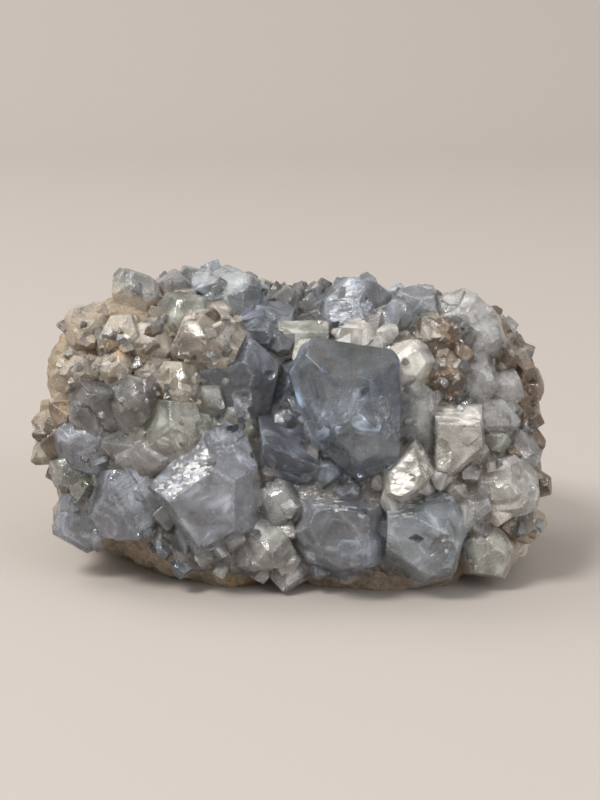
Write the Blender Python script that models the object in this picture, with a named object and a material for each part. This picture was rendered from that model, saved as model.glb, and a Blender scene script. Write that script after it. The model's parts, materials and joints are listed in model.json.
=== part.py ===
"""A celestite specimen: a lump of pale limestone rind with a crust of blue-grey crystals grown on it.

Row frame: X across the specimen, Y away from the viewer, Z up, origin in the flat resting spot under it.
Crystals are laid out as they are seen from in front, on a sight frame that looks down by SIGHT_DOWN
degrees: across (to the right), up (up the picture) and out (towards the viewer), in millimetres.
"""

from math import cos, radians, sin

import bmesh
import bpy
import numpy as np
from mathutils import Matrix, Vector

MM = 0.001

# Sight frame of the layout
SIGHT_DOWN = 14.0
SIGHT_ORIGIN = np.array((0.0, -7.0, -5.3))

# Rock: half sizes of a blunt block, its middle, how far it leans back for each millimetre of height, how
# blunt it is, the strips that each of its sides is divided in, and the levels that it and the crust end at
ROCK_HALF = np.array((48.5, 25.0, 27.0))
ROCK_MIDDLE = np.array((-0.2, 5.5, 25.0))
ROCK_LEAN = 0.24
ROCK_BLUNTNESS = 3.8
ROCK_STRIPS = 13
ROCK_FOOT = 0.0
CRUST_FOOT = 0.4

# Lumps of the rock: spacing and height
ROCK_LUMPS = ((19.0, 1.9), (10.0, 2.2))

# Hollows and swellings of the rock: where, how wide and how high
ROCK_SHAPING = (
    ((-5.0, -17.0, 37.0), 13.0, -9.0),  # the pocket in the middle of the front
    ((3.5, 2.0, 54.0), 12.0, -12.0),  # the valley that runs into it from the top
    ((-44.0, -22.0, 0.0), 15.0, -6.0),  # the undercut below the left end
    ((-35.0, 4.0, 58.0), 13.0, 7.0),  # the rind's high corner above the left end
    ((10.0, -24.0, 2.0), 30.0, 4.0),  # the foot in front
    ((47.0, -12.0, 8.0), 14.0, 4.0),  # its right end
    ((26.0, 32.0, 50.0), 20.0, -6.0),  # a broken back corner
    ((-20.0, 32.0, 12.0), 18.0, 3.0),  # the rounded back of the nodule
)

# Crust: the bed that joins the crystals, which way it faces, and the gap between touching pieces
BED_THICK = 2.6
BED_SINK = 2.4
COVER_AXIS = np.array((0.0, -0.82, 0.57))
COVER_FROM, COVER_TO = 0.16, 0.32
BARE_CORNER = np.array((-0.86, -0.16, 0.48))
BARE_FROM, BARE_TO = 0.88, 0.98
GAP = 0.3

# Small crystals that fill the crust between the large ones
FILL_TRIES = 560
FILL_COVER = 0.6
FILL_SIZE = (5.0, 8.5)
FILL_FLAT = (0.75, 1.0)
FILL_SLENDER = (0.85, 1.15)
FILL_STRAY = 0.32

# Angles of celestite's faces, in degrees from the crystal's long axis or its flat face
PRISM_ANGLE = 38.0
DOME_ANGLE = 52.1
BEVEL_ANGLE = 39.4
FACE_SCATTER = (0.84, 1.06)
SEED = 11

# Large crystals, cut face by face: where the middle lies across, up and proud of the rock, then each face's
# turn (clockwise from up), rise (towards the viewer) and distance from the middle.
CUT_CRYSTALS = (
    # the glassy crystal that hangs over the pocket
    (
        (10.4, 36.4, 8.0),
        ((180, 82, 8.0), (-107, 35, 6.6), (90, 45, 9.7), (10, 40, 10.8), (-57, 10, 12.7), (-139, 25, 7.8)),
        ((156, 30, 12.2), (156, -30, 11.7), (-107, -35, 6.6), (-139, -40, 6.6), (90, -30, 7.9)),
        ((0, -90, 8.0), (8, -12, 12.6)),
    ),
    # the bright one under its tip
    (
        (22.6, 23.4, 4.0),
        ((-15, 58, 5.2), (100, 40, 5.4), (126, 10, 3.6), (150, 15, 3.9), (-152, 10, 5.1), (-86, 10, 4.5)),
        ((-40, 15, 4.3), (62, 20, 4.4), (0, -90, 6.0)),
    ),
    # the big block left of the pocket
    (
        (-16.6, 21.0, 1.5),
        ((200, 80, 9.0), (95, 30, 9.9), (32, 35, 9.6), (-45, 45, 8.1), (-45, 0, 8.3), (-125, 20, 8.9)),
        ((156, 15, 11.4), (78, -10, 10.6), (-133, -20, 8.8), (0, -90, 9.0)),
    ),
    # the wedge whose ridge crosses the floor of the pocket
    (
        (2.0, 26.4, 0.0),
        ((24, 35, 4.5), (204, 55, 5.4), (-90, 10, 8.3), (75, 5, 6.6), (180, 10, 6.2), (0, -20, 10.0)),
        ((0, -90, 7.0),),
    ),
    # the two blocks in the middle of the foot
    (
        (9.6, 12.4, 2.0),
        ((185, 75, 8.0), (2, 12, 7.1), (95, 25, 8.5), (-70, 15, 8.3), (-120, 25, 7.3), (-160, 20, 6.9)),
        ((168, 10, 7.4), (0, -90, 8.0)),
    ),
    (
        (26.6, 11.8, 1.5),
        ((190, 70, 8.0), (-5, 20, 8.0), (70, 30, 7.6), (110, 10, 7.2), (165, 15, 8.4), (-150, 25, 8.0)),
        ((-90, 0, 8.0), (30, 45, 8.6), (0, -90, 8.0)),
    ),
    # the greenish block behind the hanging crystal's top
    (
        (0.8, 49.4, 12.0),
        ((185, 72, 4.2), (-3, 35, 4.9), (-85, 12, 4.1), (-125, 20, 4.4), (90, 0, 7.0), (180, 0, 6.0)),
        ((0, -90, 12.0), (0, -12, 4.6)),
    ),
    # the flat-faced one with a pointed tip, right of the pocket
    (
        (32.4, 30.0, 3.5),
        ((175, 80, 6.0), (3, 25, 6.2), (-92, 8, 4.7), (139, 12, 4.6), (85, 10, 5.6), (-150, 25, 7.6)),
        ((0, -90, 7.0),),
    ),
    # the broken one at the top of the right half
    (
        (13.2, 56.4, 0.5),
        ((-20, 50, 7.5), (60, 40, 7.5), (-80, 25, 7.8), (-39, 10, 6.8), (10, 5, 7.4), (180, 40, 7.5)),
        ((40, 5, 8.2), (90, 10, 8.6), (-130, 20, 8.0), (135, 20, 8.4), (10, -30, 7.0), (0, -90, 7.0)),
    ),
)

# The other crystals: across, up, proud, wide, thick, long, lean, tilt, spin and side blocks. Lean is the long
# axis, clockwise from up; tilt is towards the viewer; spin is about the long axis.
CRYSTALS = (
    # the depth of the pocket
    (-0.5, 32.8, -1.0, 15.0, 13.0, 18.0, 60, -12, 20, 1),
    (-11.4, 42.0, 0.5, 20.0, 15.0, 21.0, 12, 14, 44, 1),
    (-4.8, 51.6, 1.0, 14.0, 13.0, 17.0, 50, 18, 10, 1),
    # between the large ones, above the foot
    (-2.0, 18.0, 2.0, 9.0, 8.0, 11.0, 20, 40, 15, 1),
    (-4.2, 10.4, 1.0, 12.0, 10.0, 14.0, 150, 30, 35, 1),
    # the top of the left half
    (-12.0, 57.6, 0.5, 16.0, 14.0, 18.0, 6, 22, 42, 2),
    (-1.4, 56.0, 0.0, 10.0, 10.0, 14.0, 0, 10, 3, 1),
    (5.0, 53.0, 0.0, 9.0, 9.0, 13.0, 10, 4, 25, 1),
    (-20.6, 54.0, 1.0, 14.0, 11.0, 14.0, -30, 28, 15, 1),
    (-16.4, 48.6, 1.5, 18.0, 13.0, 16.0, 80, 22, 30, 2),
    (-31.4, 59.4, 0.5, 12.0, 11.0, 13.0, -12, 20, 30, 1),
    (-24.0, 59.4, 0.0, 9.0, 9.0, 12.0, 5, 15, 10, 1),
    # the dirty crystals at the left rim
    (-40.0, 52.0, -0.5, 12.0, 10.0, 13.0, -40, 40, 10, 0),
    (-33.0, 50.0, 0.0, 12.0, 10.0, 12.0, 30, 45, 40, 0),
    (-27.0, 49.0, 0.5, 11.0, 9.0, 12.0, 100, 35, 25, 0),
    (-41.0, 43.0, 0.0, 12.0, 10.0, 12.0, -80, 40, 30, 0),
    (-34.0, 44.0, 0.5, 11.0, 10.0, 12.0, 10, 45, 15, 0),
    # the left half
    (-37.2, 36.8, 1.0, 13.0, 11.0, 15.0, -30, 34, 12, 1),
    (-30.0, 37.4, 1.5, 13.0, 11.0, 16.0, -8, 30, 48, 1),
    (-27.4, 42.6, 1.5, 8.0, 7.0, 9.0, 15, 40, 20, 0),
    (-21.6, 40.4, 1.5, 11.0, 9.0, 13.0, -15, 30, 60, 1),
    (-16.0, 38.0, 1.5, 10.0, 8.0, 11.0, 40, 30, 15, 0),
    (-21.6, 31.6, 2.0, 16.0, 12.0, 17.0, -24, 24, 35, 2),
    (-10.8, 34.2, 2.0, 11.0, 9.0, 12.0, 30, 26, 10, 1),
    (-38.8, 29.0, 1.0, 12.0, 11.0, 17.0, -70, 18, 30, 1),
    (-28.8, 27.2, 1.5, 11.0, 9.0, 15.0, 66, 24, 62, 1),
    (-41.8, 23.6, 0.5, 11.0, 10.0, 13.0, -60, 26, 15, 0),
    (-32.0, 18.0, 1.5, 17.0, 14.0, 19.0, -34, 12, 22, 2),
    (-39.4, 15.2, 1.0, 14.0, 12.0, 16.0, -58, 10, 50, 2),
    # the top of the right half
    (24.6, 54.4, 0.0, 14.0, 12.0, 15.0, 40, 20, 10, 1),
    (13.6, 50.6, 4.5, 8.0, 6.0, 9.0, 95, 40, 4, 0),
    (34.6, 53.6, 0.0, 16.0, 12.0, 15.0, 10, 22, 40, 1),
    (37.6, 49.6, 1.0, 12.0, 10.0, 15.0, 30, 28, 12, 0),
    (28.4, 49.8, 1.0, 11.0, 9.0, 12.0, 20, 35, 50, 1),
    # the right half
    (23.4, 44.0, 1.5, 11.0, 9.0, 13.0, 10, 38, 2, 1),
    (30.0, 43.0, 1.0, 11.0, 9.0, 13.0, 70, 30, 40, 1),
    (36.4, 42.0, 1.5, 12.0, 10.0, 14.0, 30, 34, 20, 1),
    (24.4, 36.0, 3.0, 10.0, 10.0, 14.0, 0, 12, 8, 1),
    (38.6, 34.6, 2.5, 10.0, 9.0, 15.0, 88, 6, 4, 1),
    (41.0, 39.4, 0.0, 11.0, 10.0, 13.0, 40, 18, 30, 0),
    (44.4, 28.0, -0.5, 11.0, 10.0, 12.0, 90, 12, 25, 0),
    (41.4, 20.6, 1.0, 13.0, 12.0, 16.0, 80, 14, 48, 2),
    (35.0, 16.6, 1.0, 10.0, 9.0, 13.0, 40, 34, 20, 1),
    (45.6, 14.4, -0.5, 10.0, 9.0, 11.0, 110, 14, 30, 0),
    (38.4, 8.6, 0.0, 13.0, 10.0, 14.0, 150, 20, 10, 1),
)


def sight_frame():
    """Matrix whose columns are the sight frame's across, up and out axes in the row frame."""
    down = radians(SIGHT_DOWN)
    return np.array(
        (
            (1.0, 0.0, 0.0),
            (0.0, sin(down), -cos(down)),
            (0.0, cos(down), sin(down)),
        )
    )


def lattice_values(cells, seed):
    """A repeatable number from -1 to 1 for each whole-numbered lattice point."""
    whole = cells.astype(np.int64).astype(np.uint64)
    mixed = whole[..., 0] * np.uint64(374761393) + whole[..., 1] * np.uint64(668265263)
    mixed = mixed + whole[..., 2] * np.uint64(2147483647) + np.uint64(seed * 144665)
    mixed = mixed & np.uint64(0xFFFFFFFF)
    mixed = ((mixed ^ (mixed >> np.uint64(13))) * np.uint64(1274126177)) & np.uint64(0xFFFFFFFF)
    return ((mixed ^ (mixed >> np.uint64(16))) & np.uint64(0xFFFF)).astype(float) / 32767.5 - 1.0


def smooth_noise(points, spacing, seed):
    """Noise from -1 to 1: lattice values blended between the eight corners of each point's cell."""
    scaled = points / spacing
    cell = np.floor(scaled)
    share = scaled - cell
    share = share * share * (3.0 - 2.0 * share)
    total = np.zeros(len(points))
    for corner in np.ndindex(2, 2, 2):
        offset = np.array(corner)
        weight = np.prod(np.where(offset, share, 1.0 - share), axis=1)
        total += weight * lattice_values(cell + offset, seed)
    return total


def eased(value, start, end):
    """From 0 at start to 1 at end, with a soft beginning and a soft finish."""
    share = np.clip((value - start) / (end - start), 0.0, 1.0)
    return share * share * (3.0 - 2.0 * share)


def leaned(offsets, lean):
    """Offsets from the rock's middle, pushed back in proportion to their height."""
    moved = offsets.copy()
    moved[:, 1] += lean * moved[:, 2]
    return moved


def rock_radius(directions):
    """Distance to the upright rock's surface: a blunt block with lumps, hollows and swellings."""
    powers = np.abs(directions / ROCK_HALF) ** ROCK_BLUNTNESS
    radius = powers.sum(axis=1) ** (-1.0 / ROCK_BLUNTNESS)
    points = leaned(directions * radius[:, None], ROCK_LEAN) + ROCK_MIDDLE
    for layer, (spacing, height) in enumerate(ROCK_LUMPS):
        radius = radius + height * smooth_noise(points, spacing, SEED + layer)
    for place, width, rise in ROCK_SHAPING:
        away = np.linalg.norm(points - np.array(place), axis=1)
        radius = radius + rise * np.exp(-((away / width) ** 2))
    return radius


def rock_surface(directions, swell=0.0):
    """Points of the rock's surface along directions from the upright rock's middle, moved out by swell."""
    radius = rock_radius(directions) + swell
    return leaned(directions * radius[:, None], ROCK_LEAN) + ROCK_MIDDLE


def rock_out(across, up):
    """How far out the rock's surface lies on a line of sight, or comes nearest to it."""
    outs = np.arange(50.0, -30.0, -0.25)
    line = np.column_stack((np.full(len(outs), across), np.full(len(outs), up), outs))
    offsets = leaned(line @ sight_frame().T + SIGHT_ORIGIN - ROCK_MIDDLE, -ROCK_LEAN)
    distances = np.linalg.norm(offsets, axis=1)
    above = distances - rock_radius(offsets / distances[:, None])
    inside = np.nonzero(above < 0.0)[0]
    return outs[inside[0]] if len(inside) else outs[above.argmin()]


def cover(directions):
    """From 0 on the bare rock to 1 where crystals cover it, across a wandering border."""
    reach = directions @ (COVER_AXIS / np.linalg.norm(COVER_AXIS))
    reach += 0.07 * smooth_noise(directions, 0.45, SEED + 2)
    bare = eased(directions @ BARE_CORNER, BARE_FROM, BARE_TO)
    return eased(reach, COVER_FROM, COVER_TO) * (1.0 - bare)


def rock_shell(name, swell):
    """A closed rock-shaped mesh, its surface moved out by swell (a function of direction) millimetres."""
    mesh = bpy.data.meshes.new(name)
    work = bmesh.new()
    bmesh.ops.create_cube(work, size=2.0)
    bmesh.ops.subdivide_edges(work, edges=work.edges[:], cuts=ROCK_STRIPS - 1, use_grid_fill=True)
    bmesh.ops.triangulate(work, faces=work.faces[:], quad_method="FIXED")
    work.to_mesh(mesh)
    work.free()
    corners = np.empty(len(mesh.vertices) * 3)
    mesh.vertices.foreach_get("co", corners)
    corners = corners.reshape(-1, 3)
    squared = corners**2
    one, other = squared[:, [1, 2, 0]], squared[:, [2, 0, 1]]
    directions = corners * np.sqrt(1.0 - (one + other) / 2.0 + one * other / 3.0) * ROCK_HALF
    directions /= np.linalg.norm(directions, axis=1)[:, None]
    points = rock_surface(directions, swell(directions))
    mesh.vertices.foreach_set("co", (points * MM).ravel())
    mesh.update()
    return mesh


def finish_body(mesh, level):
    """Cuts the mesh off flat at a height in millimetres, closes the cut and keeps the one large body."""
    work = bmesh.new()
    work.from_mesh(mesh)
    cut = bmesh.ops.bisect_plane(
        work,
        geom=work.verts[:] + work.edges[:] + work.faces[:],
        plane_co=(0.0, 0.0, level * MM),
        plane_no=(0.0, 0.0, -1.0),
        clear_outer=True,
    )
    rim = [item for item in cut["geom_cut"] if isinstance(item, bmesh.types.BMEdge)]
    bmesh.ops.triangle_fill(work, edges=rim, use_beauty=True, normal=(0.0, 0.0, -1.0))
    keep_largest_body(work)
    bmesh.ops.remove_doubles(work, verts=work.verts[:], dist=0.01 * MM)
    bmesh.ops.triangulate(work, faces=work.faces[:])
    bmesh.ops.recalc_face_normals(work, faces=work.faces[:])
    work.to_mesh(mesh)
    work.free()


def keep_largest_body(work):
    """Removes every loose part but the one with the most faces, such as the wall of a sealed pocket."""
    left, bodies = set(work.faces), []
    while left:
        body, edge = set(), [left.pop()]
        while edge:
            face = edge.pop()
            body.add(face)
            for near in (loop.link_loop_radial_next.face for loop in face.loops):
                if near in left:
                    left.discard(near)
                    edge.append(near)
        bodies.append(body)
    bodies.sort(key=len)
    spare = [face for body in bodies[:-1] for face in body]
    bmesh.ops.delete(work, geom=spare, context="FACES")


def crystal_planes(size, luck, bevelled=True):
    """Outward normals and distances of one crystal's faces, in its own axes.

    X is its width, Y its thickness and Z its length. It has two flat faces, four dome faces along it and four
    prism faces, each moved in or out a little. A bevelled one has two side faces and four end bevels too.
    """
    prism, dome, bevel = radians(PRISM_ANGLE), radians(DOME_ANGLE), radians(BEVEL_ANGLE)
    half_wide, half_thick, half_long = np.array(size) / 2
    planes = []
    for side in (-1, 1):
        planes.append(((0, side, 0), half_thick))
        for end in (-1, 1):
            planes.append(((side * sin(dome), end * cos(dome), 0), half_wide * sin(dome)))
            planes.append(((side * sin(prism), 0, end * cos(prism)), half_long * cos(prism)))
        if bevelled:
            planes.append(((side, 0, 0), half_wide * 0.93))
            for end in (-1, 1):
                reach = 0.55 * half_long * sin(bevel) + half_thick * cos(bevel)
                planes.append(((0, side * cos(bevel), end * sin(bevel)), reach))
    normals = np.array([normal for normal, _ in planes], float)
    distances = np.array([distance for _, distance in planes])
    return normals, distances * luck.uniform(*FACE_SCATTER, len(distances))


def crystal_turn(lean, tilt, spin):
    """Matrix whose columns are a crystal's own axes in the sight frame."""
    lean, tilt, spin = radians(lean), radians(tilt), radians(spin)
    length = np.array((sin(lean) * cos(tilt), cos(lean) * cos(tilt), sin(tilt)))
    facing = np.array((-sin(lean) * sin(tilt), -cos(lean) * sin(tilt), cos(tilt)))
    across = np.cross(facing, length)
    wide = across * cos(spin) + facing * sin(spin)
    thick = facing * cos(spin) - across * sin(spin)
    return np.column_stack((wide, thick, length))


def crystal_middle(across, up, proud):
    """The point of the row frame that lies proud of the rock on one line of sight."""
    return sight_frame() @ np.array((across, up, rock_out(across, up) + proud)) + SIGHT_ORIGIN


def cut_blocks():
    """Middle, turn, normals and distances of each large crystal, whose faces are given one by one."""
    blocks = []
    for place, *rows in CUT_CRYSTALS:
        turn, rise, distances = np.array([face for row in rows for face in row], float).T
        turn, rise = np.radians(turn), np.radians(rise)
        flat = np.cos(rise)
        normals = np.column_stack((np.sin(turn) * flat, np.cos(turn) * flat, np.sin(rise)))
        blocks.append((crystal_middle(*place), sight_frame(), normals, distances))
    return blocks


def habit_blocks(luck):
    """Middle, turn, normals and distances of each other listed crystal and its parallel side blocks."""
    blocks = []
    for across, up, proud, wide, thick, long, lean, tilt, spin, sides in CRYSTALS:
        turn = sight_frame() @ crystal_turn(lean, tilt, spin)
        middle = crystal_middle(across, up, proud)
        size = np.array((wide, thick, long))
        blocks.append((middle, turn, *crystal_planes(size, luck)))
        for _ in range(sides):
            small = size * luck.uniform(0.5, 0.72, 3)
            shift = (size - small) / 2 * luck.choice((-1, 1), 3) * luck.uniform(0.75, 1.25, 3)
            shift[2] = abs(shift[2]) * luck.uniform(-0.3, 0.8)
            blocks.append((middle + turn @ shift, turn, *crystal_planes(small, luck)))
    return blocks


def in_blocks(point, blocks):
    """True if the point lies inside any of the blocks."""
    return any(
        ((normals @ (turn.T @ (point - middle)) - distances) < 0.0).all()
        for middle, turn, normals, distances in blocks
    )


def filling_blocks(blocks, luck):
    """Small crystals standing roughly straight out of the covered rock, where no large one hides them."""
    turns = np.arange(FILL_TRIES) + 0.5
    height = 1.0 - 2.0 * turns / FILL_TRIES
    angle = turns * np.pi * (3.0 - 5.0**0.5)
    ring = np.sqrt(1.0 - height**2)
    directions = np.column_stack((ring * np.cos(angle), ring * np.sin(angle), height)) * ROCK_HALF
    directions /= np.linalg.norm(directions, axis=1)[:, None]
    outwards = leaned(directions / ROCK_HALF**2, -ROCK_LEAN)
    outwards /= np.linalg.norm(outwards, axis=1)[:, None]
    feet = rock_surface(directions)
    filling = []
    for foot, outward, share in zip(feet, outwards, cover(directions)):
        shape = np.array((1.0, luck.uniform(*FILL_FLAT), luck.uniform(*FILL_SLENDER)))
        size = luck.uniform(*FILL_SIZE) * shape
        length = Vector(outward + luck.normal(0.0, FILL_STRAY, 3))
        roll = Matrix.Rotation(luck.uniform(0.0, 2.0 * np.pi), 3, "Z")
        planes = crystal_planes(size, luck, bevelled=False)
        if share > FILL_COVER and not in_blocks(foot + 0.45 * size[2] * outward, blocks):
            turn = np.array(length.to_track_quat("Z", "Y").to_matrix() @ roll)
            filling.append((foot, turn, *planes))
    return filling


def crystal_object(name, middle, turn, normals, distances, collection):
    """One block: a cube trimmed by its face planes, as a guide that the crust's union takes in."""
    mesh = bpy.data.meshes.new(name)
    work = bmesh.new()
    bmesh.ops.create_cube(work, size=2.4 * float(distances.max()) * MM)
    for normal, distance in zip(normals, distances):
        cut = bmesh.ops.bisect_plane(
            work,
            geom=work.verts[:] + work.edges[:] + work.faces[:],
            plane_co=Vector(normal * distance * MM),
            plane_no=Vector(normal),
            clear_outer=True,
        )
        rim = [item for item in cut["geom_cut"] if isinstance(item, bmesh.types.BMEdge)]
        if rim:
            bmesh.ops.contextual_create(work, geom=rim)
    bmesh.ops.recalc_face_normals(work, faces=work.faces[:])
    work.to_mesh(mesh)
    work.free()
    block = bpy.data.objects.new(name, mesh)
    block.matrix_world = Matrix.Translation(Vector(middle * MM)) @ Matrix(turn.tolist()).to_4x4()
    block.hide_render = True
    block.display_type = "WIRE"
    collection.objects.link(block)
    return block


def add_boolean(target, operation, operand=None, operands=None):
    """An exact Boolean modifier on target with one object or a whole collection."""
    modifier = target.modifiers.new(operation.title(), "BOOLEAN")
    modifier.operation = operation
    modifier.solver = "EXACT"
    if operands is not None:
        modifier.operand_type = "COLLECTION"
        modifier.collection = operands
    else:
        modifier.object = operand
    return modifier


def material(name, colour, roughness):
    """A Principled material with a colour, a roughness and no metal."""
    made = bpy.data.materials.new(name)
    made.use_nodes = True
    shader = made.node_tree.nodes["Principled BSDF"]
    shader.inputs["Base Color"].default_value = (*colour, 1.0)
    shader.inputs["Roughness"].default_value = roughness
    shader.inputs["Metallic"].default_value = 0.0
    return made


def make_rock(collection):
    """The limestone rind: the lump that carries the crystals, flat where it rests."""
    mesh = rock_shell("limestone_matrix", lambda directions: -GAP)
    finish_body(mesh, ROCK_FOOT)
    rock = bpy.data.objects.new("limestone_matrix", mesh)
    rock.data.materials.append(material("limestone", (0.52, 0.43, 0.33), 0.9))
    collection.objects.link(rock)
    return rock


def make_crust(collection, guides):
    """The crystals and the bed between them, joined in one body and hollowed to sit on the rock."""
    luck = np.random.default_rng(SEED)
    blocks = cut_blocks() + habit_blocks(luck)
    blocks += filling_blocks(blocks, luck)
    crystals = bpy.data.collections.new("crystal_blocks")
    guides.children.link(crystals)
    for number, block in enumerate(blocks):
        crystal_object(f"block_{number:03d}", *block, crystals)
    full_bed = BED_THICK + BED_SINK
    bed_mesh = rock_shell("bed", lambda directions: cover(directions) * full_bed - BED_SINK)
    bed = bpy.data.objects.new("bed", bed_mesh)
    cutter = bpy.data.objects.new("rock_cutter", rock_shell("rock_cutter", lambda directions: 0.0))
    for guide in (bed, cutter):
        guide.hide_render = True
        guide.display_type = "WIRE"
        guides.objects.link(guide)
    add_boolean(bed, "UNION", operands=crystals)
    add_boolean(bed, "DIFFERENCE", operand=cutter)
    bpy.context.view_layer.update()
    graph = bpy.context.evaluated_depsgraph_get()
    mesh = bpy.data.meshes.new_from_object(bed.evaluated_get(graph))
    bed.modifiers.clear()
    finish_body(mesh, CRUST_FOOT)
    crust = bpy.data.objects.new("celestite_crust", mesh)
    mesh.materials.clear()
    mesh.materials.append(material("celestite", (0.36, 0.41, 0.47), 0.2))
    collection.objects.link(crust)
    return crust


def main():
    for old in list(bpy.data.objects):
        bpy.data.objects.remove(old)
    specimen = bpy.data.collections.new("celestite_specimen")
    guides = bpy.data.collections.new("guides")
    for made in (specimen, guides):
        bpy.context.scene.collection.children.link(made)
    make_rock(specimen)
    make_crust(specimen, guides)


main()
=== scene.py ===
"""Looks of a celestite specimen: blue-grey crystals grown together on a lump of limestone rind.

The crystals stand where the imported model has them: each is a closed body bounded by its flat faces, worked
out again here on a finer grid, with rounded edges, uneven faces, small crystals between the large ones and
a grainy bed. Crystals are laid out on a sight frame that looks down by SIGHT_DOWN degrees: across (to the
right), up (up the picture) and out (towards the viewer). Lengths are in millimetres until a mesh is made.
"""

import json
from itertools import combinations
from math import cos, pi, radians, sin

import bmesh
import bpy
import numpy as np
from bpy.props import FloatProperty, FloatVectorProperty, IntProperty, PointerProperty
from mathutils import Matrix, Vector
from mathutils.bvhtree import BVHTree

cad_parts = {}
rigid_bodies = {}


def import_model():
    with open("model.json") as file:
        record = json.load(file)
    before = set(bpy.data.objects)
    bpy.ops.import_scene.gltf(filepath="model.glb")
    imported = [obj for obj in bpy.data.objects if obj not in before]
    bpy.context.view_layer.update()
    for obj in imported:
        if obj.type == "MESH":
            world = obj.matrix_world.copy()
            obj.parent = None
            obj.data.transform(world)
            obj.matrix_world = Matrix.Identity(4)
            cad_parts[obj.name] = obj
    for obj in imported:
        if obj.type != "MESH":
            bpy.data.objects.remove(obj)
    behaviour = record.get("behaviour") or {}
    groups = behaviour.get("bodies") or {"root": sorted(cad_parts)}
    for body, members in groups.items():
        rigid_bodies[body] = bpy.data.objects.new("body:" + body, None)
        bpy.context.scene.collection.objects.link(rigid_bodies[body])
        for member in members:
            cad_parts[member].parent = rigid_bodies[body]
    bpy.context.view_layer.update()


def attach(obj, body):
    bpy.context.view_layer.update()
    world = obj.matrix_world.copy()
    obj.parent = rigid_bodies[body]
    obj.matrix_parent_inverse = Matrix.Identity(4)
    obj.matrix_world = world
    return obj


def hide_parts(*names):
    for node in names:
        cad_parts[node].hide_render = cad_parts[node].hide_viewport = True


bl_info = {
    "name": "Celestite cluster on limestone",
    "version": (1, 0, 0),
    "blender": (4, 5, 0),
    "location": "3D View > Sidebar > Celestite",
    "description": "Crystals, limestone rind and a plain stage for a celestite specimen",
    "category": "Add Mesh",
}

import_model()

MM = 0.001

# Sight frame of the layout
SIGHT_DOWN = 14.0
SIGHT_ORIGIN = np.array((0.0, -7.0, -5.3))

# Rock: half sizes of a blunt block, its middle, how far it leans back for each millimetre of height, how
# blunt it is, its lumps (spacing and height), and its hollows and swellings (where, how wide, how high)
ROCK_HALF = np.array((48.5, 25.0, 27.0))
ROCK_MIDDLE = np.array((-0.2, 5.5, 25.0))
ROCK_LEAN = 0.24
ROCK_BLUNTNESS = 3.8
ROCK_LUMPS = ((19.0, 1.9), (10.0, 2.2))
ROCK_SHAPING = (
    ((-5.0, -17.0, 37.0), 13.0, -9.0),
    ((3.5, 2.0, 54.0), 12.0, -12.0),
    ((-44.0, -22.0, 0.0), 15.0, -6.0),
    ((-35.0, 4.0, 58.0), 13.0, 7.0),
    ((10.0, -24.0, 2.0), 30.0, 4.0),
    ((47.0, -12.0, 8.0), 14.0, 4.0),
    ((26.0, 32.0, 50.0), 20.0, -6.0),
    ((-20.0, 32.0, 12.0), 18.0, 3.0),
)

# Spacing and height of the rind's grain, where rock and crust end underneath, and the gap between them
RIND_GRAIN = ((6.0, 0.8), (3.0, 0.7), (1.6, 0.42), (0.9, 0.2))
ROCK_FOOT = 0.0
CRUST_FOOT = 0.4
GAP = 0.3

# Crust: the bed that joins the crystals, the grid and grain of its surface, the cutter that hollows it out
# for the rock, which way it faces, and the corner of the rock that it leaves bare
BED_THICK = 2.6
BED_SINK = 2.4
BED_STRIPS = 56
BED_GRAIN = ((2.6, 0.5), (1.1, 0.3))
CUTTER_STRIPS = 20
CUTTER_SINK = 0.9
COVER_AXIS = np.array((0.0, -0.82, 0.57))
COVER_FROM, COVER_TO = 0.16, 0.32
BARE_CORNER = np.array((-0.86, -0.16, 0.48))
BARE_FROM, BARE_TO = 0.88, 0.98

# Small crystals that fill the crust between the large ones
FILL_TRIES = 560
FILL_COVER = 0.6
FILL_SIZE = (5.0, 8.5)
FILL_FLAT = (0.75, 1.0)
FILL_SLENDER = (0.85, 1.15)
FILL_STRAY = 0.32

# Smaller ones yet, on the bed (knots and the grains between them) and seated on larger crystals: least and
# most width, how far they stray from upright, and how deep they sink, as a share of their width
KNOT_SIZE, KNOT_STRAY = (3.6, 7.6), 0.5
GRAIN_SIZE, GRAIN_STRAY = (1.8, 3.8), 0.7
SEAT_SIZE, DIRTY_SEAT_SIZE, SEAT_STRAY = (1.4, 2.6), (1.4, 3.8), 0.7
SEAT_TRIES, DIRTY_SEAT_TRIES = 6, 40
BED_DEPTH, SEAT_DEPTH = 0.16, 0.3

# Angles of celestite's faces, in degrees from the crystal's long axis or its flat face
PRISM_ANGLE = 38.0
DOME_ANGLE = 52.1
BEVEL_ANGLE = 39.4
FACE_SCATTER = (0.84, 1.06)

# Where a bevelled crystal's side faces and end bevels lie, as shares of half its width and half its length
SIDE_CUT, END_CUT = 0.93, 0.55

# Parallel growths: their size as a share of the crystal's. Chips: their radius, and the share that is round.
# Cracks: half their thickness
TWIN_SIZE = (0.3, 0.62)
CHIP_SIZE, ROUND_CHIPS = (0.5, 2.2), 0.35
CRACK_THIN = 0.06

# Start of all random numbers; each use adds a number of its own
SEED = 11

# Face numbers: those of one crystal start at its number times FACES_EACH, and they count down from BROKEN
# where a face is broken. CRACK_FACE is what every crack of a crystal has.
FACES_EACH = 64
CRACK_FACE = 60
BROKEN = -1000

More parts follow.
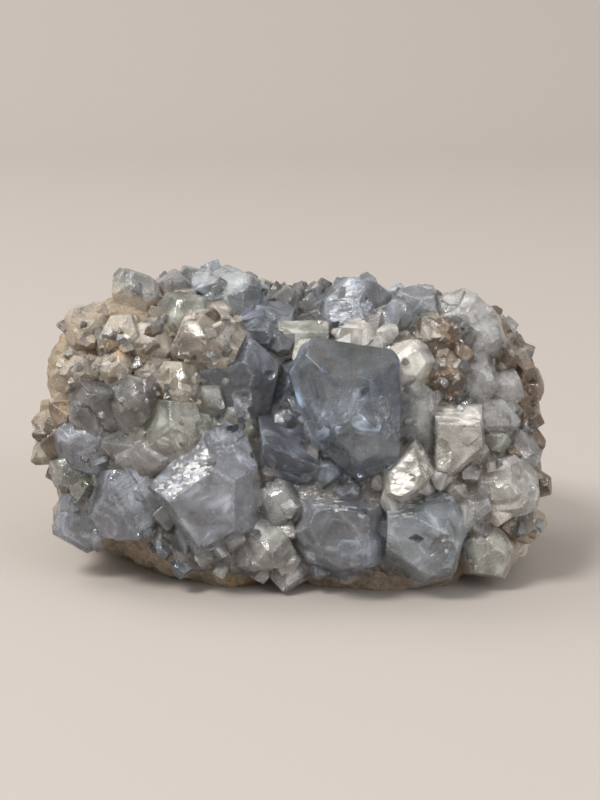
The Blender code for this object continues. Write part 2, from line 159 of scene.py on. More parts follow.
# Kinds of crystal: colour, how clear it is, how much dirt it holds
KINDS = {
    "blue": ("b2bcc9", 0.76, 0.10),
    # deep: a darker blue; on the crystals in the pocket left of the hanging crystal it is painted shade, and
    # small crystals elsewhere take it at random as a darker tone
    "deep": ("8e99ab", 0.80, 0.05),
    "slate": ("a4aebb", 0.76, 0.10),
    "smoke": ("9da0a3", 0.80, 0.12),
    "green": ("bcbfb8", 0.76, 0.12),
    "pale": ("d3d7d8", 0.82, 0.08),
    "clear": ("f6f8f8", 0.95, 0.00),
    "glass": ("d5dfeb", 1.00, 0.00),
    "milky": ("d8d9d7", 0.72, 0.08),
    "white": ("e6e3dd", 0.62, 0.05),
    "sand": ("c2bbaf", 0.68, 0.30),
    "dirty": ("b0a799", 0.62, 0.45),
    "rust": ("937f6b", 0.68, 0.45),
}

# How much lighter or darker each crystal and each of its faces is, the lightest tint, how dark the painted
# shade deep between crystals makes the tint, how dull an etched face is and how dark its painted shade makes
# it, and how strongly breaks in the hanging crystal and in the others show pale splinters, partly real and
# partly painted highlight
CRYSTAL_TONE, FACE_TONE, LIGHTEST, DEEP_PAINTED_SHADE = (0.9, 1.34), 0.24, 0.9, 0.45
ETCHED_FROST, ETCHED_PAINTED_SHADE = 0.9, 0.5
HANGING_SPLIT_HIGHLIGHT, BROKEN_SPLIT_HIGHLIGHT = 0.7, 0.3

# How many cracks there are inside a crystal, by its kind, and inside each of the other large ones
CRACKS, LARGE_CRACKS = {"glass": 7, "clear": 2}, 2

# Kinds of the small crystals seated on a dirty one, a pale one and any other
DIRTY_KINDS, PALE_KINDS = ("dirty", "sand", "rust"), ("clear", "white", "milky")
NEAR_DIRTY = ("dirty", "sand", "smoke", "pale", "rust")
NEAR_PALE = ("pale", "milky", "green")
NEAR_OTHERS = ("slate", "smoke", "green", "pale")

# The pieces that the crystals are made in: height of the relief in millimetres, and how far patches 3 mm wide
# of a whole face lean, and patches 0.8 mm wide of a broken one
TITLES = {"crust": "intergrown_crystals", "clear": "clear_crystals", "glass": "hanging_crystal"}
RELIEF = {"crust": 0.16, "clear": 0.06, "glass": 0.035}
FACE_LEAN = {"crust": 0.1, "clear": 0.16, "glass": 0.03}
SPLINTER_LEAN = 0.55

# The two clear pieces: how much light goes in, the colour that is left, and how strongly it is absorbed
CLEARNESS = {
    "clear": (0.8, (0.70, 0.72, 0.73, 1.0), 2.0),
    "glass": (0.9, (0.32, 0.48, 0.72, 1.0), 36.0),
}

# Where most values of a noise lie, and the settings of a node that mixes colours, whose result comes third
NOISE_LOW, NOISE_HIGH = 0.3, 0.7
RGBA = {"out": 2, "data_type": "RGBA"}

# Angle in degrees above which an edge between two faces is sharp, and the fewest points of a body that stays
SHARP_ANGLE = 24.0
LEAST_BODY = 40

# Broken places seen from in front: number of the large crystal, across, up, radius of the scoop, how deep it
# bites, and spacing and height of its ripples
SCOOPS = (
    (0, 17.4, 36.4, 4.4, 0.7, 0.9, 0.10),
    (0, 18.0, 32.4, 3.6, 0.5, 0.8, 0.08),
    (1, 25.4, 26.4, 4.0, 0.6, 0.8, 0.08),
    (2, -13.4, 30.0, 9.0, 0.7, 1.2, 0.08),
    (4, 4.0, 9.0, 3.4, 0.7, 0.9, 0.08),
    (5, 30.0, 10.0, 7.0, 0.8, 1.2, 0.10),
    (8, 9.6, 56.0, 6.4, 1.2, 1.1, 0.12),
    (8, 15.0, 58.4, 4.0, 0.7, 1.0, 0.10),
)

# Angular pits seen from in front: number of the large crystal, across, up and size
PITS = (
    (0, 14.2, 39.6, 3.4),
    (0, 7.0, 44.0, 2.6),
    (2, -24.0, 24.0, 4.0),
    (2, -15.0, 9.6, 2.4),
    (4, 14.0, 17.0, 3.4),
    (5, 24.0, 12.0, 3.6),
)

# Fineness of a crystal: step along the outlines, rings across the faces, unevenness, and edge rounding as a
# share of the edge wear. An angular cutter's rounding is in millimetres.
LARGE = (1.2, (0.4, 0.7, 0.9, 0.97), 0.12, 1.0)
MIDDLING = (2.2, (0.92,), 0.10, 0.8)
SMALL = (3.0, (0.85,), 0.06, 0.5)
TINY = (4.0, (), 0.03, 0.3)
NOTCH = (3.0, (), 0.05, 0.05)

# Large crystals, cut face by face: kind, where the middle lies across, up and proud of the rock, then each
# face's turn (clockwise from up), rise (towards the viewer) and distance from the middle.
CUT_CRYSTALS = (
    (
        "glass",
        (10.4, 36.4, 8.0),
        ((180, 82, 8.0), (-107, 35, 6.6), (90, 45, 9.7), (10, 40, 10.8), (-57, 10, 12.7), (-139, 25, 7.8)),
        ((156, 30, 12.2), (156, -30, 11.7), (-107, -35, 6.6), (-139, -40, 6.6), (90, -30, 7.9)),
        ((0, -90, 8.0), (8, -12, 12.6)),
    ),
    (
        "white",
        (22.6, 23.4, 4.0),
        ((-15, 58, 5.2), (100, 40, 5.4), (126, 10, 3.6), (150, 15, 3.9), (-152, 10, 5.1), (-86, 10, 4.5)),
        ((-40, 15, 4.3), (62, 20, 4.4), (0, -90, 6.0)),
    ),
    (
        "blue",
        (-16.6, 21.0, 1.5),
        ((200, 80, 9.0), (95, 30, 9.9), (32, 35, 9.6), (-45, 45, 8.1), (-45, 0, 8.3), (-125, 20, 8.9)),
        ((156, 15, 11.4), (78, -10, 10.6), (-133, -20, 8.8), (0, -90, 9.0)),
    ),
    # Its top face is the floor of the pocket: its deep kind is painted shade
    (
        "deep",
        (2.0, 26.4, 0.0),
        ((24, 35, 4.5), (204, 55, 5.4), (-90, 10, 8.3), (75, 5, 6.6), (180, 10, 6.2), (0, -20, 10.0)),
        ((0, -90, 7.0),),
    ),
    (
        "blue",
        (9.6, 12.4, 2.0),
        ((185, 75, 8.0), (2, 12, 7.1), (95, 25, 8.5), (-70, 15, 8.3), (-120, 25, 7.3), (-160, 20, 6.9)),
        ((168, 10, 7.4), (0, -90, 8.0)),
    ),
    (
        "blue",
        (26.6, 11.8, 1.5),
        ((190, 70, 8.0), (-5, 20, 8.0), (70, 30, 7.6), (110, 10, 7.2), (165, 15, 8.4), (-150, 25, 8.0)),
        ((-90, 0, 8.0), (30, 45, 8.6), (0, -90, 8.0)),
    ),
    (
        "green",
        (0.8, 49.4, 12.0),
        ((185, 72, 4.2), (-3, 35, 4.9), (-85, 12, 4.1), (-125, 20, 4.4), (90, 0, 7.0), (180, 0, 6.0)),
        ((0, -90, 12.0), (0, -12, 4.6)),
    ),
    (
        "white",
        (32.4, 30.0, 3.5),
        ((175, 80, 6.0), (3, 25, 6.2), (-92, 8, 4.7), (139, 12, 4.6), (85, 10, 5.6), (-150, 25, 7.6)),
        ((0, -90, 7.0),),
    ),
    (
        "slate",
        (13.2, 56.4, 0.5),
        ((-20, 50, 7.5), (60, 40, 7.5), (-80, 25, 7.8), (-39, 10, 6.8), (10, 5, 7.4), (180, 40, 7.5)),
        ((40, 5, 8.2), (90, 10, 8.6), (-130, 20, 8.0), (135, 20, 8.4), (10, -30, 7.0), (0, -90, 7.0)),
    ),
)

# The other crystals: kind, across, up, proud, wide, thick, long, lean, tilt, spin and side blocks. Lean is
# the long axis, clockwise from up; tilt is towards the viewer; spin is about the long axis.
CRYSTALS = (
    # The first three lie deep in the pocket: their deep kind is painted shade
    ("deep", -0.5, 32.8, -1.0, 15.0, 13.0, 18.0, 60, -12, 20, 1),
    ("deep", -11.4, 42.0, 0.5, 20.0, 15.0, 21.0, 12, 14, 44, 1),
    ("deep", -4.8, 51.6, 1.0, 14.0, 13.0, 17.0, 50, 18, 10, 1),
    ("clear", -2.0, 18.0, 2.0, 9.0, 8.0, 11.0, 20, 40, 15, 1),
    ("milky", -4.2, 10.4, 1.0, 12.0, 10.0, 14.0, 150, 30, 35, 1),
    ("blue", -12.0, 57.6, 0.5, 16.0, 14.0, 18.0, 6, 22, 42, 2),
    ("smoke", -1.4, 56.0, 0.0, 10.0, 10.0, 14.0, 0, 10, 3, 1),
    ("smoke", 5.0, 53.0, 0.0, 9.0, 9.0, 13.0, 10, 4, 25, 1),
    ("green", -20.6, 54.0, 1.0, 14.0, 11.0, 14.0, -30, 28, 15, 1),
    ("sand", -16.4, 48.6, 1.5, 18.0, 13.0, 16.0, 80, 22, 30, 2),
    ("pale", -31.4, 59.4, 0.5, 12.0, 11.0, 13.0, -12, 20, 30, 1),
    ("pale", -24.0, 59.4, 0.0, 9.0, 9.0, 12.0, 5, 15, 10, 1),
    ("dirty", -40.0, 52.0, -0.5, 12.0, 10.0, 13.0, -40, 40, 10, 0),
    ("dirty", -33.0, 50.0, 0.0, 12.0, 10.0, 12.0, 30, 45, 40, 0),
    ("dirty", -27.0, 49.0, 0.5, 11.0, 9.0, 12.0, 100, 35, 25, 0),
    ("dirty", -41.0, 43.0, 0.0, 12.0, 10.0, 12.0, -80, 40, 30, 0),
    ("dirty", -34.0, 44.0, 0.5, 11.0, 10.0, 12.0, 10, 45, 15, 0),
    ("smoke", -37.2, 36.8, 1.0, 13.0, 11.0, 15.0, -30, 34, 12, 1),
    ("smoke", -30.0, 37.4, 1.5, 13.0, 11.0, 16.0, -8, 30, 48, 1),
    ("sand", -27.4, 42.6, 1.5, 8.0, 7.0, 9.0, 15, 40, 20, 0),
    ("sand", -21.6, 40.4, 1.5, 11.0, 9.0, 13.0, -15, 30, 60, 1),
    ("pale", -16.0, 38.0, 1.5, 10.0, 8.0, 11.0, 40, 30, 15, 0),
    ("green", -21.6, 31.6, 2.0, 16.0, 12.0, 17.0, -24, 24, 35, 2),
    ("green", -10.8, 34.2, 2.0, 11.0, 9.0, 12.0, 30, 26, 10, 1),
    ("slate", -38.8, 29.0, 1.0, 12.0, 11.0, 17.0, -70, 18, 30, 1),
    ("pale", -28.8, 27.2, 1.5, 11.0, 9.0, 15.0, 66, 24, 62, 1),
    ("green", -41.8, 23.6, 0.5, 11.0, 10.0, 13.0, -60, 26, 15, 0),
    ("slate", -32.0, 18.0, 1.5, 17.0, 14.0, 19.0, -34, 12, 22, 2),
    ("blue", -39.4, 15.2, 1.0, 14.0, 12.0, 16.0, -58, 10, 50, 2),
    ("slate", 24.6, 54.4, 0.0, 14.0, 12.0, 15.0, 40, 20, 10, 1),
    ("white", 13.6, 50.6, 4.5, 8.0, 6.0, 9.0, 95, 40, 4, 0),
    ("clear", 34.6, 53.6, 0.0, 16.0, 12.0, 15.0, 10, 22, 40, 1),
    ("clear", 37.6, 49.6, 1.0, 12.0, 10.0, 15.0, 30, 28, 12, 0),
    ("rust", 28.4, 49.8, 1.0, 11.0, 9.0, 12.0, 20, 35, 50, 1),
    ("white", 23.4, 44.0, 1.5, 11.0, 9.0, 13.0, 10, 38, 2, 1),
    ("rust", 30.0, 43.0, 1.0, 11.0, 9.0, 13.0, 70, 30, 40, 1),
    ("clear", 36.4, 42.0, 1.5, 12.0, 10.0, 14.0, 30, 34, 20, 1),
    ("clear", 24.4, 36.0, 3.0, 10.0, 10.0, 14.0, 0, 12, 8, 1),
    ("clear", 38.6, 34.6, 2.5, 10.0, 9.0, 15.0, 88, 6, 4, 1),
    ("clear", 41.0, 39.4, 0.0, 11.0, 10.0, 13.0, 40, 18, 30, 0),
    ("pale", 44.4, 28.0, -0.5, 11.0, 10.0, 12.0, 90, 12, 25, 0),
    ("milky", 41.4, 20.6, 1.0, 13.0, 12.0, 16.0, 80, 14, 48, 2),
    ("pale", 35.0, 16.6, 1.0, 10.0, 9.0, 13.0, 40, 34, 20, 1),
    ("sand", 45.6, 14.4, -0.5, 10.0, 9.0, 11.0, 110, 14, 30, 0),
    ("white", 38.4, 8.6, 0.0, 13.0, 10.0, 14.0, 150, 20, 10, 1),
)

# Ochre stains seen from in front: across, up, how wide, how high, turn clockwise, strength
STAINS = (
    (5.2, 47.4, 2.6, 1.1, 50, 0.9),
    (8.0, 44.6, 2.2, 0.8, 60, 0.8),
    (12.0, 44.4, 3.4, 0.7, 80, 0.8),
    (-33.0, 47.4, 2.4, 2.0, 0, 0.8),
    (-44.0, 36.4, 2.4, 2.6, 0, 0.7),
    (-24.6, 36.6, 1.8, 1.2, 0, 0.5),
    (38.8, 21.0, 0.9, 0.9, 0, 0.8),
    (24.6, 49.6, 2.6, 2.2, 0, 0.6),
    (24.0, 42.0, 2.4, 4.0, 0, 0.5),
)

# Faces that layers have split off, painted pale with splinters that are partly real and partly painted
# highlight: number of the large crystal, number of the face in its list, and how strongly
SPLIT_HIGHLIGHT_FACES = (
    (1, 0, 0.75),
    (1, 5, 0.4),
    (2, 3, 0.6),
    (4, 1, 0.45),
    (5, 1, 0.4),
    (7, 1, 0.55),
    (8, 0, 0.35),
)

# Faces etched dull all over, and darkened with painted shade: number of the large crystal and number of the
# face in its list
ETCHED = ((0, 3),)

# Camera: its place in the sight frame, its sensor, and how wide a strip the sensor sees from how far away
CAMERA_PLACE = (2.0, 38.4, 392.0)
SENSOR, SEEN_WIDTH, SEEN_FROM = 36.0, 160.0, 380.0

# Lights: name, place and width in metres, and colour, all aimed at one point
LIGHTS = (
    ("key", (-0.75, -0.66, 1.36), 0.5, (1.0, 0.97, 0.93)),
    ("fill", (1.2, -1.1, 0.75), 1.1, (0.95, 0.97, 1.0)),
    ("back", (-0.90, 0.55, 1.25), 0.9, (1.0, 0.98, 0.95)),
)
LIGHTS_AIM = (0.0, 0.0, 0.03)
ROOM_COLOUR = (0.94, 0.90, 0.86, 1.0)


class CrystalLooks(bpy.types.PropertyGroup):
    """Finish of the celestite."""

    ior: FloatProperty(
        name="IOR", description="How strongly celestite bends light", default=1.62, min=1.0, max=2.5
    )
    roughness: FloatProperty(
        name="Roughness", description="Roughness of a clean crystal face", default=0.1, min=0.0, max=1.0
    )
    edge: FloatProperty(
        name="Edge wear",
        description="How far worn edges are rounded off",
        default=0.1 * MM,
        min=0.0,
        unit="LENGTH",
    )
    druse: IntProperty(
        name="Small crystals", description="Tries at placing small crystals", default=1200, min=0
    )


class RockLooks(bpy.types.PropertyGroup):
    """Finish of the limestone rind."""

    strips: IntProperty(
        name="Strips", description="Strips that each side of the rind is divided in", default=118, min=10
    )
    grain: FloatProperty(
        name="Grain", description="Height of the rind's roughness against its usual one", default=1.0, min=0.0
    )


class StageLooks(bpy.types.PropertyGroup):
    """Floor, light and camera."""

    floor: FloatVectorProperty(
        name="Floor", description="Colour of the floor", subtype="COLOR", default=(0.39, 0.357, 0.333)
    )
    key: FloatProperty(name="Key light", description="Power of the key light", default=23.0, min=0.0)
    fill: FloatProperty(name="Fill light", description="Power of the soft fill light", default=11.0, min=0.0)
    back: FloatProperty(name="Back light", description="Power of the soft back light", default=9.5, min=0.0)


def sight_frame():
    """Matrix whose columns are the sight frame's across, up and out axes in the row frame."""
    down = radians(SIGHT_DOWN)
    return np.array(((1.0, 0.0, 0.0), (0.0, sin(down), -cos(down)), (0.0, cos(down), sin(down))))


def lattice_values(cells, seed):
    """A repeatable number from -1 to 1 for each whole-numbered lattice point, scrambled by large factors."""
    whole = cells.astype(np.int64).astype(np.uint64)
    mixed = whole[..., 0] * np.uint64(374761393) + whole[..., 1] * np.uint64(668265263)
    mixed = mixed + whole[..., 2] * np.uint64(2147483647) + np.uint64(seed * 144665)
    mixed = mixed & np.uint64(0xFFFFFFFF)
    mixed = ((mixed ^ (mixed >> np.uint64(13))) * np.uint64(1274126177)) & np.uint64(0xFFFFFFFF)
    return ((mixed ^ (mixed >> np.uint64(16))) & np.uint64(0xFFFF)).astype(float) / 32767.5 - 1.0


def smooth_noise(points, spacing, seed):
    """Noise from -1 to 1: lattice values blended between the eight corners of each point's cell."""
    scaled = points / spacing
    cell = np.floor(scaled)
    share = scaled - cell
    share = share * share * (3.0 - 2.0 * share)
    total = np.zeros(len(points))
    for corner in np.ndindex(2, 2, 2):
        offset = np.array(corner)
        weight = np.prod(np.where(offset, share, 1.0 - share), axis=1)
        total += weight * lattice_values(cell + offset, seed)
    return total


def layered_noise(points, layers, seed):
    """A sum of smooth noises, each with its own spacing and height."""
    return sum(height * smooth_noise(points, spacing, seed + n) for n, (spacing, height) in enumerate(layers))


def eased(value, start, end):
    """From 0 at start to 1 at end, with a soft beginning and a soft finish."""
    share = np.clip((value - start) / (end - start), 0.0, 1.0)
    return share * share * (3.0 - 2.0 * share)


def leaned(offsets, lean):
    """Offsets from the rock's middle, pushed back in proportion to their height."""
    moved = offsets.copy()
    moved[:, 1] += lean * moved[:, 2]
    return moved


def rock_radius(directions):
    """Distance to the upright rock's surface: a blunt block with lumps, hollows and swellings."""
    powers = np.abs(directions / ROCK_HALF) ** ROCK_BLUNTNESS
    radius = powers.sum(axis=1) ** (-1.0 / ROCK_BLUNTNESS)
    points = leaned(directions * radius[:, None], ROCK_LEAN) + ROCK_MIDDLE
    for layer, (spacing, height) in enumerate(ROCK_LUMPS):
        radius = radius + height * smooth_noise(points, spacing, SEED + layer)
    for place, width, rise in ROCK_SHAPING:
        away = np.linalg.norm(points - np.array(place), axis=1)
        radius = radius + rise * np.exp(-((away / width) ** 2))
    return radius


def rock_surface(directions, swell=0.0):
    """Points of the rock's surface along directions from the upright rock's middle, moved out by swell."""
    radius = rock_radius(directions) + swell
    return leaned(directions * radius[:, None], ROCK_LEAN) + ROCK_MIDDLE


def rock_directions(points):
    """Directions from the upright rock's middle to points of the row frame, and how far out they lie."""
    offsets = leaned(points - ROCK_MIDDLE, -ROCK_LEAN)
    distances = np.linalg.norm(offsets, axis=1)
    return offsets / distances[:, None], distances


def rock_out(across, up):
    """How far out the rock's surface lies on a line of sight, or comes nearest to it."""
    outs = np.arange(50.0, -30.0, -0.25)
    line = np.column_stack((np.full(len(outs), across), np.full(len(outs), up), outs))
    directions, distances = rock_directions(line @ sight_frame().T + SIGHT_ORIGIN)
    above = distances - rock_radius(directions)
    inside = np.nonzero(above < 0.0)[0]
    return outs[inside[0]] if len(inside) else outs[above.argmin()]


def cover(directions):
    """From 0 on the bare rock to 1 where crystals cover it, across a wandering border."""
    reach = directions @ (COVER_AXIS / np.linalg.norm(COVER_AXIS))
    reach += 0.07 * smooth_noise(directions, 0.45, SEED + 2)
    bare = eased(directions @ BARE_CORNER, BARE_FROM, BARE_TO)
    return eased(reach, COVER_FROM, COVER_TO) * (1.0 - bare)


def ball_grid(strips, half):
    """Directions and triangles of a closed grid round a middle, spaced for a body of those half sizes.

    Each side of a cube is a grid of two parameters, and the cube is swollen to a ball: each coordinate is
    multiplied by the root of 1 - (b + c) / 2 + b c / 3, where b and c are the squares of the other two.
    """
    steps = np.arange(strips + 1)
    one, other = np.meshgrid(steps, steps, indexing="ij")
    squares = []
    for axis in range(3):
        for level in (0, strips):
            sheet = np.empty((strips + 1, strips + 1, 3), np.int64)
            sheet[..., axis] = level
            sheet[..., (axis + 1) % 3] = one
            sheet[..., (axis + 2) % 3] = other
            names = sheet @ np.array((1, strips + 1, (strips + 1) ** 2))
            square = np.stack((names[:-1, :-1], names[1:, :-1], names[1:, 1:], names[:-1, 1:]), axis=-1)
            squares.append((square if level else square[..., ::-1]).reshape(-1, 4))
    names, faces = np.unique(np.concatenate(squares), return_inverse=True)
    faces = faces.reshape(-1, 4)
    places = np.column_stack((names, names // (strips + 1), names // (strips + 1) ** 2)) % (strips + 1)
    corners = places / strips * 2.0 - 1.0
    squared = corners**2
    b, c = squared[:, [1, 2, 0]], squared[:, [2, 0, 1]]
    directions = corners * np.sqrt(1.0 - (b + c) / 2.0 + b * c / 3.0) * half
    directions /= np.linalg.norm(directions, axis=1)[:, None]
    return directions, np.concatenate((faces[:, [0, 1, 2]], faces[:, [0, 2, 3]]))


def make_mesh(name, points, triangles):
    """A mesh of triangles from points in millimetres."""
    mesh = bpy.data.meshes.new(name)
    mesh.vertices.add(len(points))
    mesh.vertices.foreach_set("co", (points * MM).astype(np.float32).ravel())
    mesh.loops.add(len(triangles) * 3)
    mesh.loops.foreach_set("vertex_index", triangles.astype(np.int32).ravel())
    mesh.polygons.add(len(triangles))
    mesh.polygons.foreach_set("loop_start", np.arange(len(triangles), dtype=np.int32) * 3)
    mesh.update(calc_edges=True)
    return mesh


def set_attribute(mesh, name, domain, values):
    """Stores an array of numbers, or of rows of 3 (vectors) or 4 (colours), on the mesh under a name."""
    values = np.asarray(values, np.float32)
    kind, field = {
        (): ("FLOAT", "value"),
        (3,): ("FLOAT_VECTOR", "vector"),
        (4,): ("FLOAT_COLOR", "color"),
    }[values.shape[1:]]
    mesh.attributes.new(name, kind, domain).data.foreach_set(field, values.ravel())


def get_attribute(mesh, name):
    """The array of numbers stored on the mesh under a name."""
    values = np.empty(len(mesh.attributes[name].data), np.float32)
    mesh.attributes[name].data.foreach_get("value", values)
    return values


def helper_object(mesh, collection, block=-1.0, facet=-1.0, rim=0.5):
    """An object that a Boolean takes, with its crystal's number, face numbers and rim shares stored on it."""
    for name, domain, size, values in (
        ("block", "FACE", len(mesh.polygons), block),
        ("facet", "FACE", len(mesh.polygons), facet),
        ("rim", "POINT", len(mesh.vertices), rim),
    ):
        set_attribute(mesh, name, domain, np.broadcast_to(values, size))
    piece = bpy.data.objects.new(mesh.name, mesh)
    collection.objects.link(piece)
    return piece


def shown_object(name, mesh, material):
    """A smooth-shaded object of the scene, with one material."""
    mesh.polygons.foreach_set("use_smooth", np.ones(len(mesh.polygons), bool))
    mesh.materials.clear()
    mesh.materials.append(material)
    piece = bpy.data.objects.new(name, mesh)
    bpy.context.scene.collection.objects.link(piece)
    return piece


def points_of(mesh):
    """Places of the mesh's points in millimetres."""
    points = np.empty(len(mesh.vertices) * 3, np.float32)
    mesh.vertices.foreach_get("co", points)
    return points.reshape(-1, 3).astype(float) / MM


def crystal_planes(size, luck, bevelled=True):
    """Outward normals and distances of one crystal's faces, in its own axes.

    X is its width, Y its thickness and Z its length. It has two flat faces, four dome faces along it and four
    prism faces, each moved in or out a little. A bevelled one has two side faces and four end bevels too.
    """
    prism, dome, bevel = radians(PRISM_ANGLE), radians(DOME_ANGLE), radians(BEVEL_ANGLE)
    half_wide, half_thick, half_long = np.array(size) / 2
    planes = []
    for side in (-1, 1):
        planes.append(((0, side, 0), half_thick))
        for end in (-1, 1):
            planes.append(((side * sin(dome), end * cos(dome), 0), half_wide * sin(dome)))
            planes.append(((side * sin(prism), 0, end * cos(prism)), half_long * cos(prism)))
        if bevelled:
            planes.append(((side, 0, 0), half_wide * SIDE_CUT))
            for end in (-1, 1):
                reach = END_CUT * half_long * sin(bevel) + half_thick * cos(bevel)
                planes.append(((0, side * cos(bevel), end * sin(bevel)), reach))
    normals = np.array([normal for normal, _ in planes], float)
    distances = np.array([distance for _, distance in planes])
    return normals, distances * luck.uniform(*FACE_SCATTER, len(distances))


def crystal_turn(lean, tilt, spin):
    """Matrix whose columns are a crystal's own axes in the sight frame."""
    lean, tilt, spin = radians(lean), radians(tilt), radians(spin)
    length = np.array((sin(lean) * cos(tilt), cos(lean) * cos(tilt), sin(tilt)))
    facing = np.array((-sin(lean) * sin(tilt), -cos(lean) * sin(tilt), cos(tilt)))
    across = np.cross(facing, length)
    wide = across * cos(spin) + facing * sin(spin)
    thick = facing * cos(spin) - across * sin(spin)
    return np.column_stack((wide, thick, length))


def crystal_middle(across, up, proud):
    """The point of the row frame that lies proud of the rock on one line of sight."""
    return sight_frame() @ np.array((across, up, rock_out(across, up) + proud)) + SIGHT_ORIGIN


def cut_blocks():
    """Middle, turn, normals and distances of each large crystal, whose faces are given one by one."""
    blocks = []
    for _, place, *rows in CUT_CRYSTALS:
        turn, rise, distances = np.array([face for row in rows for face in row], float).T
        turn, rise = np.radians(turn), np.radians(rise)
        flat = np.cos(rise)
        normals = np.column_stack((np.sin(turn) * flat, np.cos(turn) * flat, np.sin(rise)))
        blocks.append((crystal_middle(*place), sight_frame(), normals, distances))
    return blocks


def habit_blocks(luck):
    """Blocks and kinds of each other listed crystal and its parallel side blocks."""
    blocks, kinds = [], []
    for kind, across, up, proud, wide, thick, long, lean, tilt, spin, sides in CRYSTALS:
        turn = sight_frame() @ crystal_turn(lean, tilt, spin)
        middle = crystal_middle(across, up, proud)
        size = np.array((wide, thick, long))
        blocks.append((middle, turn, *crystal_planes(size, luck)))
        kinds.append(kind)
        for _ in range(sides):
            small = size * luck.uniform(0.5, 0.72, 3)
            shift = (size - small) / 2 * luck.choice((-1, 1), 3) * luck.uniform(0.75, 1.25, 3)
            shift[2] = abs(shift[2]) * luck.uniform(-0.3, 0.8)
            blocks.append((middle + turn @ shift, turn, *crystal_planes(small, luck)))
            kinds.append(kind)
    return blocks, kinds


def in_blocks(point, blocks):
    """True if the point lies inside any of the blocks."""
    return any(
        ((normals @ (turn.T @ (point - middle)) - distances) < 0.0).all()
        for middle, turn, normals, distances in blocks
    )


def spread_directions(tries):
    """Directions spread evenly over a ball along a spiral, stretched to the rock's proportions."""
    turns = np.arange(tries) + 0.5
    height = 1.0 - 2.0 * turns / tries
    angle = turns * np.pi * (3.0 - 5.0**0.5)
    ring = np.sqrt(1.0 - height**2)
    directions = np.column_stack((ring * np.cos(angle), ring * np.sin(angle), height)) * ROCK_HALF
    return directions / np.linalg.norm(directions, axis=1)[:, None]


def outwards_at(directions):
    """Roughly the rock's outward normal in each direction from its middle."""
    outwards = leaned(directions / ROCK_HALF**2, -ROCK_LEAN)
    return outwards / np.linalg.norm(outwards, axis=1)[:, None]


def filling_blocks(blocks, luck):
    """Small crystals standing roughly straight out of the covered rock, where no large one hides them."""
    directions = spread_directions(FILL_TRIES)
    outwards = outwards_at(directions)
    feet = rock_surface(directions)
    filling = []
    for foot, outward, share in zip(feet, outwards, cover(directions)):
        shape = np.array((1.0, luck.uniform(*FILL_FLAT), luck.uniform(*FILL_SLENDER)))
        size = luck.uniform(*FILL_SIZE) * shape
        length = Vector(outward + luck.normal(0.0, FILL_STRAY, 3))
        roll = Matrix.Rotation(luck.uniform(0.0, 2.0 * np.pi), 3, "Z")
        planes = crystal_planes(size, luck, bevelled=False)
        if share > FILL_COVER and not in_blocks(foot + 0.45 * size[2] * outward, blocks):
            turn = np.array(length.to_track_quat("Z", "Y").to_matrix() @ roll)
            filling.append((foot, turn, *planes))
    return filling


def buried(points, blocks, spared=-1):
    """True for each point that lies inside any of the blocks but the spared one."""
    inside = np.zeros(len(points), bool)
    for number, (middle, turn, normals, distances) in enumerate(blocks):
        if number != spared:
            inside |= ((points - middle) @ (turn @ normals.T) < distances).all(axis=1)
    return inside


def rock_height(points):
    """How far each point lies above the rock's surface, measured from the rock's middle."""
    directions, distances = rock_directions(points)
    return distances - rock_radius(directions)


def standing_crystal(foot, outward, size, stray, luck):
    """A small crystal with its middle at foot, and its length roughly outward, but strayed and rolled."""
    shape = np.array((1.0, luck.uniform(0.5, 0.95), luck.uniform(1.0, 1.8)))
    length = Vector(outward + luck.normal(0.0, stray, 3))
    roll = Matrix.Rotation(luck.uniform(0.0, 2.0 * np.pi), 3, "Z")
    turn = np.array(length.to_track_quat("Z", "Y").to_matrix() @ roll)
    return (foot, turn, *crystal_planes(size * shape, luck, bevelled=False))


def bed_crystals(blocks, tries, sizes, stray, luck):
    """Small crystals standing on the bed wherever no larger one hides them."""
    directions = spread_directions(tries)
    outwards = outwards_at(directions)
    shares = cover(directions)
    feet = rock_surface(directions, shares * (BED_THICK + BED_SINK) - BED_SINK)
    size = luck.uniform(*sizes, tries)
    shown = (shares > luck.uniform(0.3, 0.7, tries)) & ~buried(feet + 0.35 * size[:, None] * outwards, blocks)
    feet -= BED_DEPTH * size[:, None] * outwards
    return [standing_crystal(feet[n], outwards[n], size[n], stray, luck) for n in np.nonzero(shown)[0]]


def on_faces(block, count, luck):
    """Random points of one crystal's surface, and the outward normals there, in the row frame."""
    middle, turn, normals, distances = block
    ways = luck.normal(0.0, 1.0, (count, 3))
    ways /= np.linalg.norm(ways, axis=1)[:, None]
    towards = ways @ normals.T
    reach = np.where(towards > 1e-6, distances / np.maximum(towards, 1e-6), np.inf)
    face = reach.argmin(axis=1)
    spots = ways * reach[np.arange(count), face][:, None]
    return spots @ turn.T + middle, normals[face] @ turn.T


def grown_on(number, blocks, count, sizes, luck):
    """Small crystals seated on one crystal's free faces."""
    spots, outwards = on_faces(blocks[number], count, luck)
    directions, distances = rock_directions(spots)
    clear_of_foot = (cover(directions) > 0.5) | (spots[:, 2] > 20.0)
    free = (distances > rock_radius(directions) + 0.5) & clear_of_foot & (outwards[:, 2] > -0.6)
    free &= ~buried(spots + 0.3 * outwards, blocks, spared=number)
    seated = []
    for spot, outward in zip(spots[free], outwards[free]):
        size = luck.uniform(*sizes)
        foot = spot - SEAT_DEPTH * size * outward
        seated.append(standing_crystal(foot, outward, size, SEAT_STRAY, luck))
    return seated


def edge_spots(block, count, luck):
    """Random points of one crystal's edges, in its own axes."""
    corners, outlines = body_corners(block[2], block[3])
    pairs = (pair for ring in outlines for pair in zip(ring, np.roll(ring, -1)))
    edges = np.array([pair for pair in pairs if pair[0] < pair[1]])
    lengths = np.linalg.norm(corners[edges[:, 0]] - corners[edges[:, 1]], axis=1)
    chosen = edges[luck.choice(len(edges), count, p=lengths / lengths.sum())]
    along = luck.uniform(0.0, 1.0, count)[:, None]
    return corners[chosen[:, 0]] * (1.0 - along) + corners[chosen[:, 1]] * along


